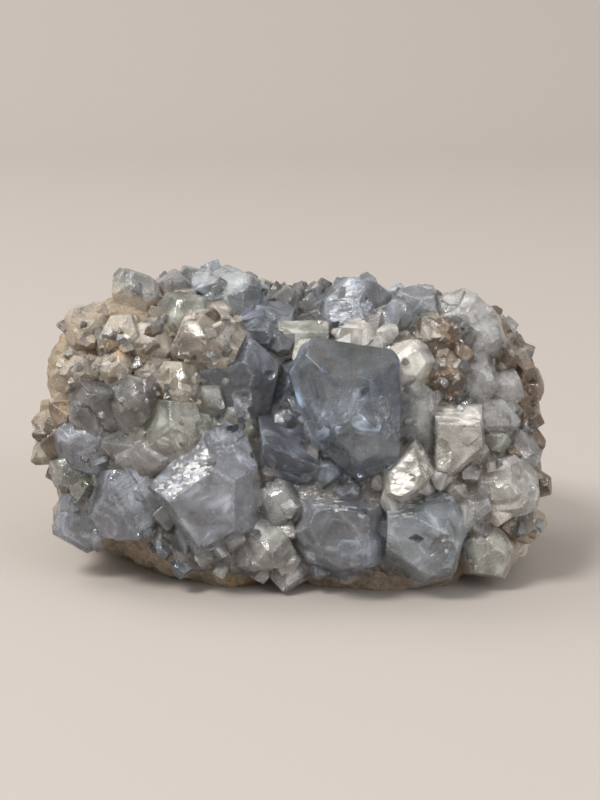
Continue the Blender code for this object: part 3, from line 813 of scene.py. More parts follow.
def twin_blocks(block, count, luck):
    """Smaller crystals parallel to one and a little proud of its edges, as growth in steps leaves them."""
    middle, turn, normals, distances = block
    twins = []
    for spot in edge_spots(block, count, luck):
        share = luck.uniform(*TWIN_SIZE)
        shift = (1.0 - share) * spot * luck.uniform(0.98, 1.05) + luck.normal(0.0, 0.12, 3)
        reach = distances * share * luck.uniform(0.86, 1.12, len(distances))
        twins.append((middle + turn @ shift, turn, normals, reach))
    return twins


def ball_piece(name, centre, radius, strips, ripples, number, luck, collection):
    """A ball with an uneven, rippled surface, which leaves a shell-like hollow where it cuts a crystal.

    Its radius is changed by layered noise and by height * sin(2 pi angle radius / spacing), where the angle
    is taken from a pole on its surface.
    """
    directions, triangles = ball_grid(strips, np.ones(3))
    spacing, height = ripples
    places = directions * radius + 17.0 * number
    reach = radius + layered_noise(places, ((0.5 * radius, 0.05 * radius), (0.9, 0.06)), SEED + 70)
    if spacing:
        pole = luck.normal(0.0, 1.0, 3)
        angle = np.arccos(np.clip(directions @ (pole / np.linalg.norm(pole)), -1.0, 1.0))
        reach += height * np.sin(2.0 * pi * angle * radius / spacing)
    mesh = make_mesh(name, centre + directions * reach[:, None], triangles)
    helper_object(mesh, collection, number, BROKEN - luck.integers(900))


def random_turn(luck):
    """A turn by any angle about any axis."""
    angle = luck.uniform(0.0, 2.0 * np.pi)
    return np.array(Matrix.Rotation(angle, 3, Vector(luck.normal(0.0, 1.0, 3)).normalized()))


def notch_block(place, size, luck):
    """An angular body at a place, turned at random, which leaves flat breaks where it cuts a crystal."""
    turn = random_turn(luck)
    return (place, turn, *crystal_planes(size * luck.uniform(0.6, 1.4, 3), luck, bevelled=False))


def chip_edges(number, blocks, count, luck, collection):
    """Balls and angular bodies that bite small chips out of one crystal's free edges."""
    middle, turn, _, distances = blocks[number]
    spots = edge_spots(blocks[number], count, luck)
    places = spots @ turn.T + middle
    outwards = (places - middle) / np.linalg.norm(spots, axis=1)[:, None]
    free = ~buried(places + 0.4 * outwards, blocks, spared=number) & (rock_height(places) > 1.5)
    for place, outward in zip(places[free], outwards[free]):
        radius = luck.uniform(*CHIP_SIZE) * min(1.0, np.median(distances) / 6.0)
        centre = place + outward * radius * luck.uniform(0.6, 0.9)
        if luck.uniform() < ROUND_CHIPS:
            ball_piece("chip", centre, radius, 5, (0.0, 0.0), number, luck, collection)
        else:
            crystal_piece(number, notch_block(centre, 1.7 * radius, luck), NOTCH, collection, broken=True)


def seen_place(across, up, block):
    """Where the line of sight at across and up meets a crystal from in front, and the face's normal there.

    Of the planes that face the viewer, the body is met on the one whose crossing lies nearest to its middle.
    """
    axes = sight_frame()
    middle, turn, normals, distances = block
    start = (axes @ np.array((across, up, 0.0)) + SIGHT_ORIGIN - middle) @ turn
    way = axes[:, 2] @ turn
    slope = normals @ way
    reach = (distances - normals @ start) / np.where(np.abs(slope) < 1e-9, 1e-9, slope)
    face = np.where(slope > 0.0, reach, np.inf).argmin()
    return (start + reach[face] * way) @ turn.T + middle, normals[face] @ turn.T


def break_faces(numbers, blocks, luck, collection):
    """The broken places and pits that the lists have for the crystals of those numbers."""
    for number, across, up, radius, bite, spacing, height in SCOOPS:
        if number in numbers:
            place, outward = seen_place(across, up, blocks[number])
            centre = place + outward * (radius - bite)
            strips = int(np.clip(radius / 0.3, 8, 50))
            ball_piece("scoop", centre, radius, strips, (spacing, height), number, luck, collection)
    for number, across, up, size in PITS:
        if number in numbers:
            place, outward = seen_place(across, up, blocks[number])
            pit = notch_block(place + 0.05 * size * outward, size, luck)
            crystal_piece(number, pit, NOTCH, collection, broken=True)


def crack_inside(number, block, count, wide, luck, collection):
    """Thin curved hollows inside one crystal, as healed cracks.

    Each is a ball pressed to CRACK_THIN, its height moved by smooth noise of its width and depth.
    """
    middle, turn, _, distances = block
    directions, triangles = ball_grid(8, np.ones(3))
    for _ in range(count):
        spin = random_turn(luck)
        half = wide * luck.uniform(0.4, 1.0) * np.array((1.0, luck.uniform(0.25, 0.6), 0.0))
        ragged = 1.0 + 0.4 * smooth_noise(2.4 * directions + luck.uniform(0.0, 90.0, 3), 1.0, SEED + 81)
        points = directions * ragged[:, None] * (half + (0.0, 0.0, CRACK_THIN))
        flat = points * (1.0, 1.0, 0.0) + luck.uniform(0.0, 90.0, 3)
        points[:, 2] += 0.12 * wide * smooth_noise(flat, 0.9 * wide, SEED + 80)
        centre = luck.uniform(-0.5, 0.5, 3) * np.median(distances)
        mesh = make_mesh("crack", (points @ spin.T + centre) @ turn.T + middle, triangles)
        helper_object(mesh, collection, number, FACES_EACH * number + CRACK_FACE)


def body_corners(normals, distances):
    """Corners of the closed body that the planes bound, and for each plane its corners in order.

    A corner is where three planes meet, kept if it lies outside none of the others.
    """
    threes = np.array(list(combinations(range(len(distances)), 3)))
    square = normals[threes]
    threes = threes[np.abs(np.linalg.det(square)) > 1e-3]
    found = np.linalg.solve(normals[threes], distances[threes][..., None])[..., 0]
    found = found[(found @ normals.T <= distances + 1e-6).all(axis=1)]
    _, keep = np.unique(np.round(found, 4), axis=0, return_index=True)
    corners = found[np.sort(keep)]
    rings = []
    for normal, distance in zip(normals, distances):
        on = np.nonzero(np.abs(corners @ normal - distance) < 2e-4)[0]
        if len(on) < 3:
            continue
        flat = corners[on] - corners[on].mean(axis=0)
        sideways = flat[0] / np.linalg.norm(flat[0])
        angle = np.arctan2(flat @ np.cross(normal, sideways), flat @ sideways)
        rings.append(on[np.argsort(angle)])
    return corners, rings


def crystal_grid(normals, distances, step, rings, edge):
    """Points, triangles, face numbers and rim shares of one crystal, in its own axes.

    Each face is a grid of two parameters: s runs along its outline in steps, and t from its middle (0) to its
    outline (1), with the point at middle + t (outline(s) - middle). Then every point is drawn towards the
    crystal's middle by the factor (sum of q^p)^(-1/p), where q is its height towards each face over that
    face's distance. That leaves the faces flat and rounds the edges, the more the smaller p is.
    """
    corners, outlines = body_corners(normals, distances)
    points, shares, cuts = [corners], [np.ones(len(corners))], {}
    count = len(corners)
    triangles, numbers = [], []
    for number, outline in enumerate(outlines):
        around = []
        for start, end in zip(outline, np.roll(outline, -1)):
            key = (min(start, end), max(start, end))
            if key not in cuts:
                one, other = corners[key[0]], corners[key[1]]
                parts = max(1, int(np.ceil(np.linalg.norm(other - one) / step)))
                inner = np.arange(1, parts)[:, None] / parts
                points.append(one + inner * (other - one))
                shares.append(np.ones(parts - 1))
                cuts[key] = np.arange(count, count + parts - 1)
                count += parts - 1
            along = cuts[key] if start < end else cuts[key][::-1]
            around.append(np.concatenate(([start], along)))
        around = np.concatenate(around)
        outline_points = np.concatenate(points)[around]
        middle = corners[outline].mean(axis=0)
        middle_index = count
        points.append(middle[None])
        shares.append(np.zeros(1))
        count += 1
        loops = []
        for share in rings:
            points.append(middle + share * (outline_points - middle))
            shares.append(np.full(len(around), share))
            loops.append(np.arange(count, count + len(around)))
            count += len(around)
        loops.append(around)
        first = loops[0]
        made = [np.column_stack((np.full(len(first), middle_index), first, np.roll(first, -1)))]
        for inner, outer in zip(loops, loops[1:]):
            made.append(np.column_stack((inner, outer, np.roll(outer, -1))))
            made.append(np.column_stack((inner, np.roll(outer, -1), np.roll(inner, -1))))
        made = np.concatenate(made)
        triangles.append(made)
        numbers.append(np.full(len(made), number))
    points = np.concatenate(points)
    heights = np.clip(points @ normals.T / distances, 0.0, None)
    power = 0.69 * np.median(distances) / edge
    points *= ((heights**power).sum(axis=1) ** (-1.0 / power))[:, None]
    return points, np.concatenate(triangles), np.concatenate(numbers), np.concatenate(shares)


def uneven(points, number, height):
    """Points drawn in or out from the crystal's middle by layered noise, so that no face is quite flat."""
    reach = np.linalg.norm(points, axis=1)
    layers = ((3.6, height), (1.5, 0.4 * height), (0.7, 0.15 * height))
    change = layered_noise(points + 53.0 * number, layers, SEED + 20)
    return points * (1.0 + change / np.maximum(reach, 0.5))[:, None]


def closed(triangles):
    """True if every edge of the triangles is shared by just two of them."""
    edges = np.sort(triangles[:, [0, 1, 1, 2, 2, 0]].reshape(-1, 2), axis=1)
    return (np.unique(edges, axis=0, return_counts=True)[1] == 2).all()


def crystal_piece(number, block, fineness, collection, broken=False):
    """One crystal as an object that a Boolean takes, with its number, face and rim stored on it.

    A body with a face too small to outline isn't closed, and is left out, because one such would stop the
    whole Boolean.
    """
    middle, turn, normals, distances = block
    step, rings, height, edge = fineness
    points, triangles, numbers, shares = crystal_grid(normals, distances, step, rings, edge)
    if not closed(triangles):
        return
    points = uneven(points, number, height)
    mesh = make_mesh(f"crystal_{number:03d}", points @ turn.T + middle, triangles)
    facet = BROKEN - 8 * number - numbers if broken else FACES_EACH * number + numbers
    helper_object(mesh, collection, number, facet, shares)


def shell_piece(name, strips, swell, collection):
    """A closed rock-shaped object, its surface moved out by swell (a function of direction) millimetres."""
    directions, triangles = ball_grid(strips, ROCK_HALF)
    return helper_object(make_mesh(name, rock_surface(directions, swell(directions)), triangles), collection)


def ground_piece(level, collection):
    """A wide block below a height, in millimetres, that trims a piece flat underneath."""
    low, high = np.array((-80.0, -80.0, -40.0)), np.array((80.0, 80.0, level))
    corners = np.array(list(np.ndindex(2, 2, 2)), float) * (high - low) + low
    mesh = bpy.data.meshes.new("ground")
    sides = [(0, 1, 3, 2), (4, 6, 7, 5), (0, 4, 5, 1), (2, 3, 7, 6), (0, 2, 6, 4), (1, 5, 7, 3)]
    mesh.from_pydata((corners * MM).tolist(), [], sides)
    helper_object(mesh, collection)


def grown_together(name, base, others, removed):
    """Joins base and the others in one closed mesh, and takes the removed from it; both are collections."""
    for operation, pieces in (("UNION", others), ("DIFFERENCE", removed)):
        if pieces.objects:
            step = base.modifiers.new(operation.title(), "BOOLEAN")
            step.operation, step.solver = operation, "MANIFOLD"
            step.operand_type, step.collection = "COLLECTION", pieces
    bpy.context.view_layer.update()
    graph = bpy.context.evaluated_depsgraph_get()
    mesh = bpy.data.meshes.new_from_object(base.evaluated_get(graph))
    mesh.name = name
    if len(mesh.polygons) == len(base.data.polygons):
        raise RuntimeError(f"{name}: the Boolean did nothing, so one of its pieces isn't closed")
    return mesh


def clear_away(collection):
    """Removes a collection of helpers with its objects and their meshes."""
    for piece in list(collection.objects):
        mesh = piece.data
        bpy.data.objects.remove(piece)
        bpy.data.meshes.remove(mesh)
    bpy.data.collections.remove(collection)


def helpers(name):
    """A new collection for helper objects."""
    made = bpy.data.collections.new(name)
    bpy.context.scene.collection.children.link(made)
    return made


def keep_large_bodies(mesh, least):
    """Removes loose parts of fewer than least points, with the faces on them."""
    work = bmesh.new()
    work.from_mesh(mesh)
    left, spare = set(work.verts), []
    while left:
        body, edge = [], [left.pop()]
        while edge:
            point = edge.pop()
            body.append(point)
            for line in point.link_edges:
                near = line.other_vert(point)
                if near in left:
                    left.discard(near)
                    edge.append(near)
        if len(body) < least:
            spare += body
    bmesh.ops.delete(work, geom=spare, context="VERTS")
    work.to_mesh(mesh)
    work.free()


def linear(code):
    """Linear colour of an sRGB hex code."""
    parts = np.array([int(code[n : n + 2], 16) for n in (0, 2, 4)]) / 255.0
    return np.where(parts <= 0.04045, parts / 12.92, ((parts + 0.055) / 1.055) ** 2.4)


def colour(code):
    """Linear colour of an sRGB hex code with full opacity, as a node's socket takes it."""
    return (*linear(code).tolist(), 1.0)


def seen_stains(mesh):
    """How strongly each point of the mesh is stained, from 0 to 1.

    A stain is an oval on the surface that is first met along its line of sight. Its strength falls off with
    the square of the distance over its size.
    """
    points = points_of(mesh)
    mesh.calc_loop_triangles()
    corners = np.empty(len(mesh.loop_triangles) * 3, np.int32)
    mesh.loop_triangles.foreach_get("vertices", corners)
    tree = BVHTree.FromPolygons(points.tolist(), corners.reshape(-1, 3).tolist())
    axes = sight_frame()
    seen = (points - SIGHT_ORIGIN) @ axes
    total = np.zeros(len(points))
    for across, up, wide, high, turn, strength in STAINS:
        start = axes @ np.array((across, up, 90.0)) + SIGHT_ORIGIN
        hit = tree.ray_cast(Vector(start), Vector(-axes[:, 2]))[0]
        if hit is None:
            continue
        out = (np.array(hit) - SIGHT_ORIGIN) @ axes[:, 2]
        away = seen - (across, up, out)
        lean = radians(turn)
        along = (away[:, 0] * sin(lean) + away[:, 1] * cos(lean)) / high
        aside = (away[:, 0] * cos(lean) - away[:, 1] * sin(lean)) / wide
        depth = away[:, 2] / max(wide, high, 2.0)
        total = np.maximum(total, strength * np.exp(-0.7 * (along**2 + aside**2 + depth**2)))
    return total


def dress_crystals(mesh, blocks, kinds, luck):
    """Stores on the mesh what its material reads.

    own is each corner's place in its crystal's own axes, in millimetres, moved on for each crystal. tint is
    the crystal's colour, made lighter or darker for each crystal and face, with painted shade deep between
    the crystals and on one etched face. clean is how clear it is. frost is how etched a face is, broken is 1
    where it is broken, and shine is how strongly layers that came off it leave it pale, partly real and
    partly painted highlight. soil is how much dirt lies on it, most near the bed, and ochre is the stains
    seen from in front.
    """
    points = points_of(mesh)
    block = np.round(get_attribute(mesh, "block")).astype(int)
    facet = np.round(get_attribute(mesh, "facet")).astype(int)
    corners = np.empty(len(mesh.loops), np.int32)
    mesh.loops.foreach_get("vertex_index", corners)
    faces = np.repeat(np.arange(len(mesh.polygons)), 3)
    if len(faces) != len(corners):
        raise RuntimeError(f"{mesh.name} isn't all triangles")
    turns = np.array([np.eye(3)] + [turn for _, turn, _, _ in blocks])
    middles = np.array([np.zeros(3)] + [middle for middle, _, _, _ in blocks])
    which = block[faces] + 1
    own = np.einsum("nij,ni->nj", turns[which], points[corners] - middles[which])
    set_attribute(mesh, "own", "CORNER", own + 41.0 * (which % 53)[:, None])
    names = ["smoke"] + kinds
    colours = np.array([linear(KINDS[name][0]) for name in names])
    colours = colours * luck.uniform(*CRYSTAL_TONE, (len(names), 1))
    colours = colours * luck.uniform(0.98, 1.02, (len(names), 3))
    cells = np.column_stack((facet, facet // 7, facet * 0 + 3))
    tint = colours[block + 1] * (1.0 + FACE_TONE * lattice_values(cells, SEED + 40))[:, None]
    tint = np.minimum(tint, LIGHTEST)
    # The bed is whitish under the clear crystals at the upper right, and grey elsewhere
    face_points = points[corners].reshape(-1, 3, 3).mean(axis=1)
    light = eased(face_points[:, 0], 10.0, 22.0) * eased(face_points[:, 2], 14.0, 26.0) * (block < 0)
    tint += (linear("d3d1cb") - tint) * light[:, None]
    # Painted shade: deep between the crystals, where less light comes back out, the tint is darkened
    deep = 1.0 - eased(rock_height(face_points), 2.5, 5.5)
    tint *= (1.0 - DEEP_PAINTED_SHADE * deep * (1.0 - 0.6 * light))[:, None]
    frost = 0.5 + 0.5 * lattice_values(cells, SEED + 41)
    for number, face in ETCHED:
        frost[facet == FACES_EACH * number + face] = ETCHED_FROST
        # Painted shade: the etched face, the top of the hanging crystal, is darkened too
        tint[facet == FACES_EACH * number + face] *= ETCHED_PAINTED_SHADE
    set_attribute(mesh, "frost", "FACE", frost)
    set_attribute(mesh, "tint", "FACE", np.column_stack((tint, np.ones(len(tint)))))
    # Painted highlight, partly real: broken faces, most on the hanging crystal, and the listed faces are
    # painted pale
    shine = np.where(facet <= BROKEN, np.where(block == 0, HANGING_SPLIT_HIGHLIGHT, BROKEN_SPLIT_HIGHLIGHT), 0.0)
    for number, face, strength in SPLIT_HIGHLIGHT_FACES:
        shine[facet == FACES_EACH * number + face] = strength
    set_attribute(mesh, "shine", "FACE", shine)
    set_attribute(mesh, "clean", "FACE", np.array([KINDS[name][1] for name in names])[block + 1])
    set_attribute(mesh, "broken", "FACE", facet <= BROKEN)
    low = 1.0 - eased(rock_height(points), 2.0, 6.5)
    border = 1.0 - eased(cover(rock_directions(points)[0]), 0.35, 0.95)
    held = np.zeros(len(points))
    held[corners] = np.array([KINDS[name][2] for name in names])[which]
    soil = np.clip(0.5 * low + 0.6 * held + 0.4 * border, 0.0, 1.0)
    set_attribute(mesh, "soil", "POINT", soil)
    set_attribute(mesh, "ochre", "POINT", seen_stains(mesh))


def add(tree, kind, inputs=None, out=0, **settings):
    """Adds a shader node with its settings, gives its inputs constants or links, and gives back an output."""
    node = tree.nodes.new("ShaderNode" + kind)
    for name, value in settings.items():
        setattr(node, name, value)
    for name, value in (inputs or {}).items():
        if isinstance(value, bpy.types.NodeSocket):
            tree.links.new(value, node.inputs[name])
        else:
            node.inputs[name].default_value = value
    return node.outputs[out]


def shaded(tree, body, noise, low, high):
    """The body's colour times a number that goes from low to high with the noise."""
    limits = {"From Min": NOISE_LOW, "From Max": NOISE_HIGH, "To Min": low, "To Max": high}
    share = add(tree, "MapRange", {"Value": noise, **limits})
    return add(tree, "Mix", {0: 1.0, 6: body, 7: share}, blend_type="MULTIPLY", **RGBA)


def patched(tree, body, amount, noise, limits, over):
    """The body with a colour over it where amount plus noise is high, and the share that it covers."""
    start, full, most = limits
    share = add(tree, "Math", {0: amount, 1: noise}, operation="ADD")
    share = add(tree, "MapRange", {"Value": share, "From Min": start, "From Max": full, "To Max": most})
    return add(tree, "Mix", {0: share, 6: body, 7: over}, **RGBA), share


def new_material(name):
    """An empty node material, its tree and its output node."""
    made = bpy.data.materials.new(name)
    made.use_nodes = True
    made.node_tree.nodes.clear()
    return made, made.node_tree, made.node_tree.nodes.new("ShaderNodeOutputMaterial")


def celestite_material(name, looks, sort):
    """Celestite, strontium sulphate: a glassy, brittle crystal grown from brine and broken out of its rock.

    Clean faces are glassy and slightly uneven, with fine growth lines across the crystal. Milky veils and
    cracks run through it, edges carry a pale line that is partly wear and partly painted highlight, faces
    that layers came off carry pale splinters that are partly real and partly painted highlight, and dirt lies
    low between the crystals.
    """
    made, tree, output = new_material(name)
    own = add(tree, "Attribute", out="Vector", attribute_name="own")
    tint = add(tree, "Attribute", out="Color", attribute_name="tint")
    clean, frost, broken, shine, soil, ochre, rim = (
        add(tree, "Attribute", out="Fac", attribute_name=found)
        for found in ("clean", "frost", "broken", "shine", "soil", "ochre", "rim")
    )

    # Clouds 5 mm wide, growth layers 0.5 mm thick across the crystal's length, and fine grain
    clouds = add(tree, "TexNoise", {"Vector": own, "Scale": 0.2, "Detail": 3.0, "Distortion": 0.8})
    layered = add(tree, "Mapping", {"Vector": own, "Scale": (0.14, 0.14, 2.0)})
    growth = add(tree, "TexNoise", {"Vector": layered, "Scale": 1.0, "Detail": 3.0, "Roughness": 0.6})
    fine = add(tree, "TexNoise", {"Vector": own, "Scale": 2.6, "Detail": 3.0, "Roughness": 0.68})
    grit = add(tree, "TexNoise", {"Vector": own, "Scale": 0.9, "Detail": 4.0, "Roughness": 0.7})
    body = shaded(tree, tint, clouds, 0.5, 1.5)
    body = shaded(tree, body, growth, 0.9, 1.1)
    body = shaded(tree, body, fine, 0.86, 1.14)

    # Veils: straight pale cracks about 4 mm apart, broken up, and milky patches beside them
    cracks = add(tree, "TexVoronoi", {"Vector": own, "Scale": 0.24}, feature="DISTANCE_TO_EDGE")
    veil = add(tree, "MapRange", {"Value": cracks, "From Min": 0.035, "From Max": 0.0, "To Max": 1.6})
    gaps = add(tree, "Math", {0: grit, 1: 0.45}, operation="SUBTRACT", use_clamp=True)
    veil = add(tree, "Math", {0: veil, 1: gaps}, operation="MULTIPLY")
    milk = add(tree, "MapRange", {"Value": clouds, "From Min": 0.55, "From Max": 0.8, "To Max": 0.4})
    veil = add(tree, "Math", {0: veil, 1: milk}, operation="MAXIMUM")
    body = add(tree, "Mix", {0: veil, 6: body, 7: colour("ccd2d8")}, **RGBA)

    # Edges carry a pale line that the fine noise breaks up, partly wear and partly painted highlight. Dirt is
    # beige to brown, in patches where soil is high, and so is the ochre stain where ochre is
    body, worn = patched(tree, body, rim, fine, (1.42, 1.7, 0.5), colour("cfd4d6"))
    earth = add(tree, "Mix", {0: fine, 6: colour("5c4a39"), 7: colour("c3b49f")}, **RGBA)
    body, dirt = patched(tree, body, soil, grit, (0.98, 1.34, 0.85), earth)
    iron = add(tree, "Mix", {0: fine, 6: colour("8f6a3f"), 7: colour("dcc19a")}, **RGBA)
    body, stain = patched(tree, body, ochre, grit, (0.95, 1.25, 0.8), iron)

    # Pale angular splinters about 1 mm wide on the faces that layers have split off: partly real pale breaks,
    # partly painted highlight
    streaks = add(tree, "Mapping", {"Vector": own, "Scale": (0.7, 1.6, 1.1)})
    splinter_highlight_cells = add(tree, "TexVoronoi", {"Vector": streaks, "Scale": 0.9}, out="Color")
    splinter_highlight_cells = add(tree, "SeparateColor", {0: splinter_highlight_cells})
    splinter_highlight_cells = add(tree, "Math", {0: grit, 1: 1.4, 2: splinter_highlight_cells}, operation="MULTIPLY_ADD")
    body, split_highlight_share = patched(tree, body, shine, splinter_highlight_cells, (1.75, 2.2, 0.8), colour("e2e1dc"))

    # Dust: white specks about 0.2 mm wide
    dots = add(tree, "TexVoronoi", {"Vector": own, "Scale": 0.95}, out="Distance")
    dust = add(tree, "MapRange", {"Value": dots, "From Min": 0.15, "From Max": 0.09, "To Max": 0.8})
    chosen = add(tree, "SeparateColor", {0: dots.node.outputs["Color"]})
    chosen = add(tree, "Math", {0: chosen, 1: 0.45}, operation="GREATER_THAN")
    dust = add(tree, "Math", {0: dust, 1: chosen}, operation="MULTIPLY")
    body = add(tree, "Mix", {0: dust, 6: body, 7: colour("e9e6e0")}, **RGBA)

    # Gloss: most faces are glassy, some are etched dull, noise varies each, and dirt is dull
    least, most = 0.3 * looks.roughness, 2.6 * looks.roughness
    etched = add(tree, "MapRange", {"Value": frost, "From Min": 0.6, "To Min": least, "To Max": most})
    grain = add(tree, "MapRange", {"Value": fine, "From Min": 0.35, "From Max": 0.8, "To Max": 0.1})
    roughness = add(tree, "Math", {0: grain, 1: etched}, operation="ADD")
    opaque = add(tree, "Math", {0: dirt, 1: stain}, operation="MAXIMUM")
    roughness = add(tree, "Mix", {0: opaque, 2: roughness, 3: 0.62}, data_type="FLOAT")
    for pale in (split_highlight_share, veil, worn):
        opaque = add(tree, "Math", {0: opaque, 1: pale}, operation="MAXIMUM")

    # Relief: growth lines, steps that follow the face's outline, and small breaks where it is broken
    steps = add(tree, "Math", {0: rim, 1: 5.0, 2: grit}, operation="MULTIPLY_ADD")
    steps = add(tree, "Math", {0: steps, 1: 1.0}, operation="PINGPONG")
    rougher = add(tree, "Math", {0: broken, 1: opaque}, operation="MAXIMUM")
    rougher = add(tree, "Math", {0: rougher, 1: grit}, operation="MULTIPLY")
    height = 0.0
    for relief, share in ((growth, 0.8), (steps, 0.12), (fine, 0.3), (rougher, 2.2)):
        height = add(tree, "Math", {0: relief, 1: share, 2: height}, operation="MULTIPLY_ADD")
    tilted = add(tree, "Bump", {"Strength": 0.6, "Distance": RELIEF[sort] * MM, "Height": height})

    # Splintered places: patches 0.8 mm wide that each lean their own way, and on whole faces 3 mm ones
    splintered = add(tree, "Math", {0: broken, 1: shine}, operation="MAXIMUM")
    splintered = add(tree, "Math", {0: splintered, 1: SPLINTER_LEAN}, operation="MULTIPLY")
    for scale, lean in ((1.25, splintered), (0.32, FACE_LEAN[sort])):
        patches = add(tree, "TexVoronoi", {"Vector": own, "Scale": scale}, out="Color")
        patches = add(tree, "VectorMath", {0: patches, 1: (0.5, 0.5, 0.5)}, operation="SUBTRACT")
        patches = add(tree, "VectorMath", {0: patches, "Scale": lean}, operation="SCALE")
        tilted = add(tree, "VectorMath", {0: tilted, 1: patches}, operation="ADD")
    tilted = add(tree, "VectorMath", {0: tilted}, operation="NORMALIZE")

    inputs = {"Base Color": body, "Roughness": roughness, "Normal": tilted, "IOR": looks.ior}
    if sort == "crust":
        left = add(tree, "Math", {0: 1.0, 1: opaque}, operation="SUBTRACT")
        inputs["Transmission Weight"] = add(tree, "Math", {0: clean, 1: left}, operation="MULTIPLY")
    else:
        inputs["Transmission Weight"], absorbed, density = CLEARNESS[sort]
        absorption = add(tree, "VolumeAbsorption", {"Color": absorbed, "Density": density})
        tree.links.new(absorption, output.inputs["Volume"])
    tree.links.new(add(tree, "BsdfPrincipled", inputs), output.inputs["Surface"])
    return made


def limestone_material(name):
    """Limestone rind, a fine-grained calcite mud stone: broken and weathered, dull and rough.

    Beige with ochre and brown iron stains, whitish calcite patches and dark pits a few tenths of a millimetre
    wide.
    """
    made, tree, output = new_material(name)
    place = add(tree, "TexCoord", out="Object")
    place = add(tree, "Mapping", {"Vector": place, "Scale": (1.0 / MM, 1.0 / MM, 1.0 / MM)})
    brown, white = (add(tree, "Attribute", out="Fac", attribute_name=found) for found in ("brown", "white"))
    blotches = add(tree, "TexNoise", {"Vector": place, "Scale": 0.16, "Detail": 6.0, "Roughness": 0.65})
    grit = add(tree, "TexNoise", {"Vector": place, "Scale": 0.9, "Detail": 8.0, "Roughness": 0.72})
    wide = {"Vector": place, "W": 7.0, "Scale": 0.21, "Detail": 5.0, "Roughness": 0.6, "Distortion": 0.6}
    spots = add(tree, "TexNoise", wide, noise_dimensions="4D")
    body = add(tree, "Mix", {0: blotches, 6: colour("8c7c6a"), 7: colour("cbbda8")}, **RGBA)
    ochre = add(tree, "MapRange", {"Value": spots, "From Min": 0.56, "From Max": 0.7, "To Max": 0.75})
    body = add(tree, "Mix", {0: ochre, 6: body, 7: colour("b98c50")}, **RGBA)
    patchy = add(tree, "Math", {0: blotches, 1: grit}, operation="ADD")
    body, _ = patched(tree, body, brown, patchy, (1.6, 2.1, 0.85), colour("5f4a38"))
    body, _ = patched(tree, body, white, patchy, (1.55, 2.0, 0.85), colour("d8cfc0"))
    body = shaded(tree, body, grit, 0.45, 1.3)
    roughness = add(tree, "MapRange", {"Value": grit, "To Min": 0.72, "To Max": 0.98})
    bump = add(tree, "Bump", {"Strength": 0.9, "Distance": 1.0 * MM, "Height": grit})
    shader = add(tree, "BsdfPrincipled", {"Base Color": body, "Roughness": roughness, "Normal": bump})
    tree.links.new(shader, output.inputs["Surface"])
    return made


class CELESTITE_OT_rock(bpy.types.Operator):
    """Make the limestone rind that the crystals grow on"""

    bl_idname = "celestite.rock"
    bl_label = "Limestone rind"

    def execute(self, context):
        looks = context.scene.celestite_rock

        def swell(directions):
            places = rock_surface(directions)
            bare = 1.0 - cover(directions)
            rough = layered_noise(places, RIND_GRAIN, SEED + 60)
            return -GAP + looks.grain * rough * (0.35 + 0.65 * bare) + 0.5 * (1.0 - bare)

        directions, triangles = ball_grid(looks.strips, ROCK_HALF)
        points = rock_surface(directions, swell(directions))
        mesh = make_mesh("limestone_matrix_fine", points, triangles)
        work = bmesh.new()
        work.from_mesh(mesh)
        cut = bmesh.ops.bisect_plane(
            work,
            geom=work.verts[:] + work.edges[:] + work.faces[:],
            plane_co=(0.0, 0.0, ROCK_FOOT),
            plane_no=(0.0, 0.0, -1.0),
            clear_outer=True,
        )
        rim = [item for item in cut["geom_cut"] if isinstance(item, bmesh.types.BMEdge)]
        bmesh.ops.triangle_fill(work, edges=rim, use_beauty=True, normal=(0.0, 0.0, -1.0))
        bmesh.ops.triangulate(work, faces=work.faces[:])
        bmesh.ops.recalc_face_normals(work, faces=work.faces[:])
        work.to_mesh(mesh)
        work.free()
        places = points_of(mesh)
        # Iron stain high up at the right end and calcite low down there, with borders that noise breaks up
        height = places[:, 2] + layered_noise(places, ((13.0, 7.0), (5.0, 3.0)), SEED + 90)
        aside = places[:, 0] - 0.3 * np.abs(places[:, 1]) + layered_noise(places, ((11.0, 5.0),), SEED + 95)
        brown = eased(aside, 26.0, 42.0) * eased(height, 16.0, 30.0)
        white = eased(aside, 22.0, 40.0) * (1.0 - eased(height, 12.0, 26.0))
        set_attribute(mesh, "brown", "POINT", brown)
        set_attribute(mesh, "white", "POINT", white)
        rock = shown_object("limestone_rind", mesh, limestone_material("weathered_limestone"))
        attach(rock, "root")
        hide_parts("limestone_matrix")
        return {"FINISHED"}


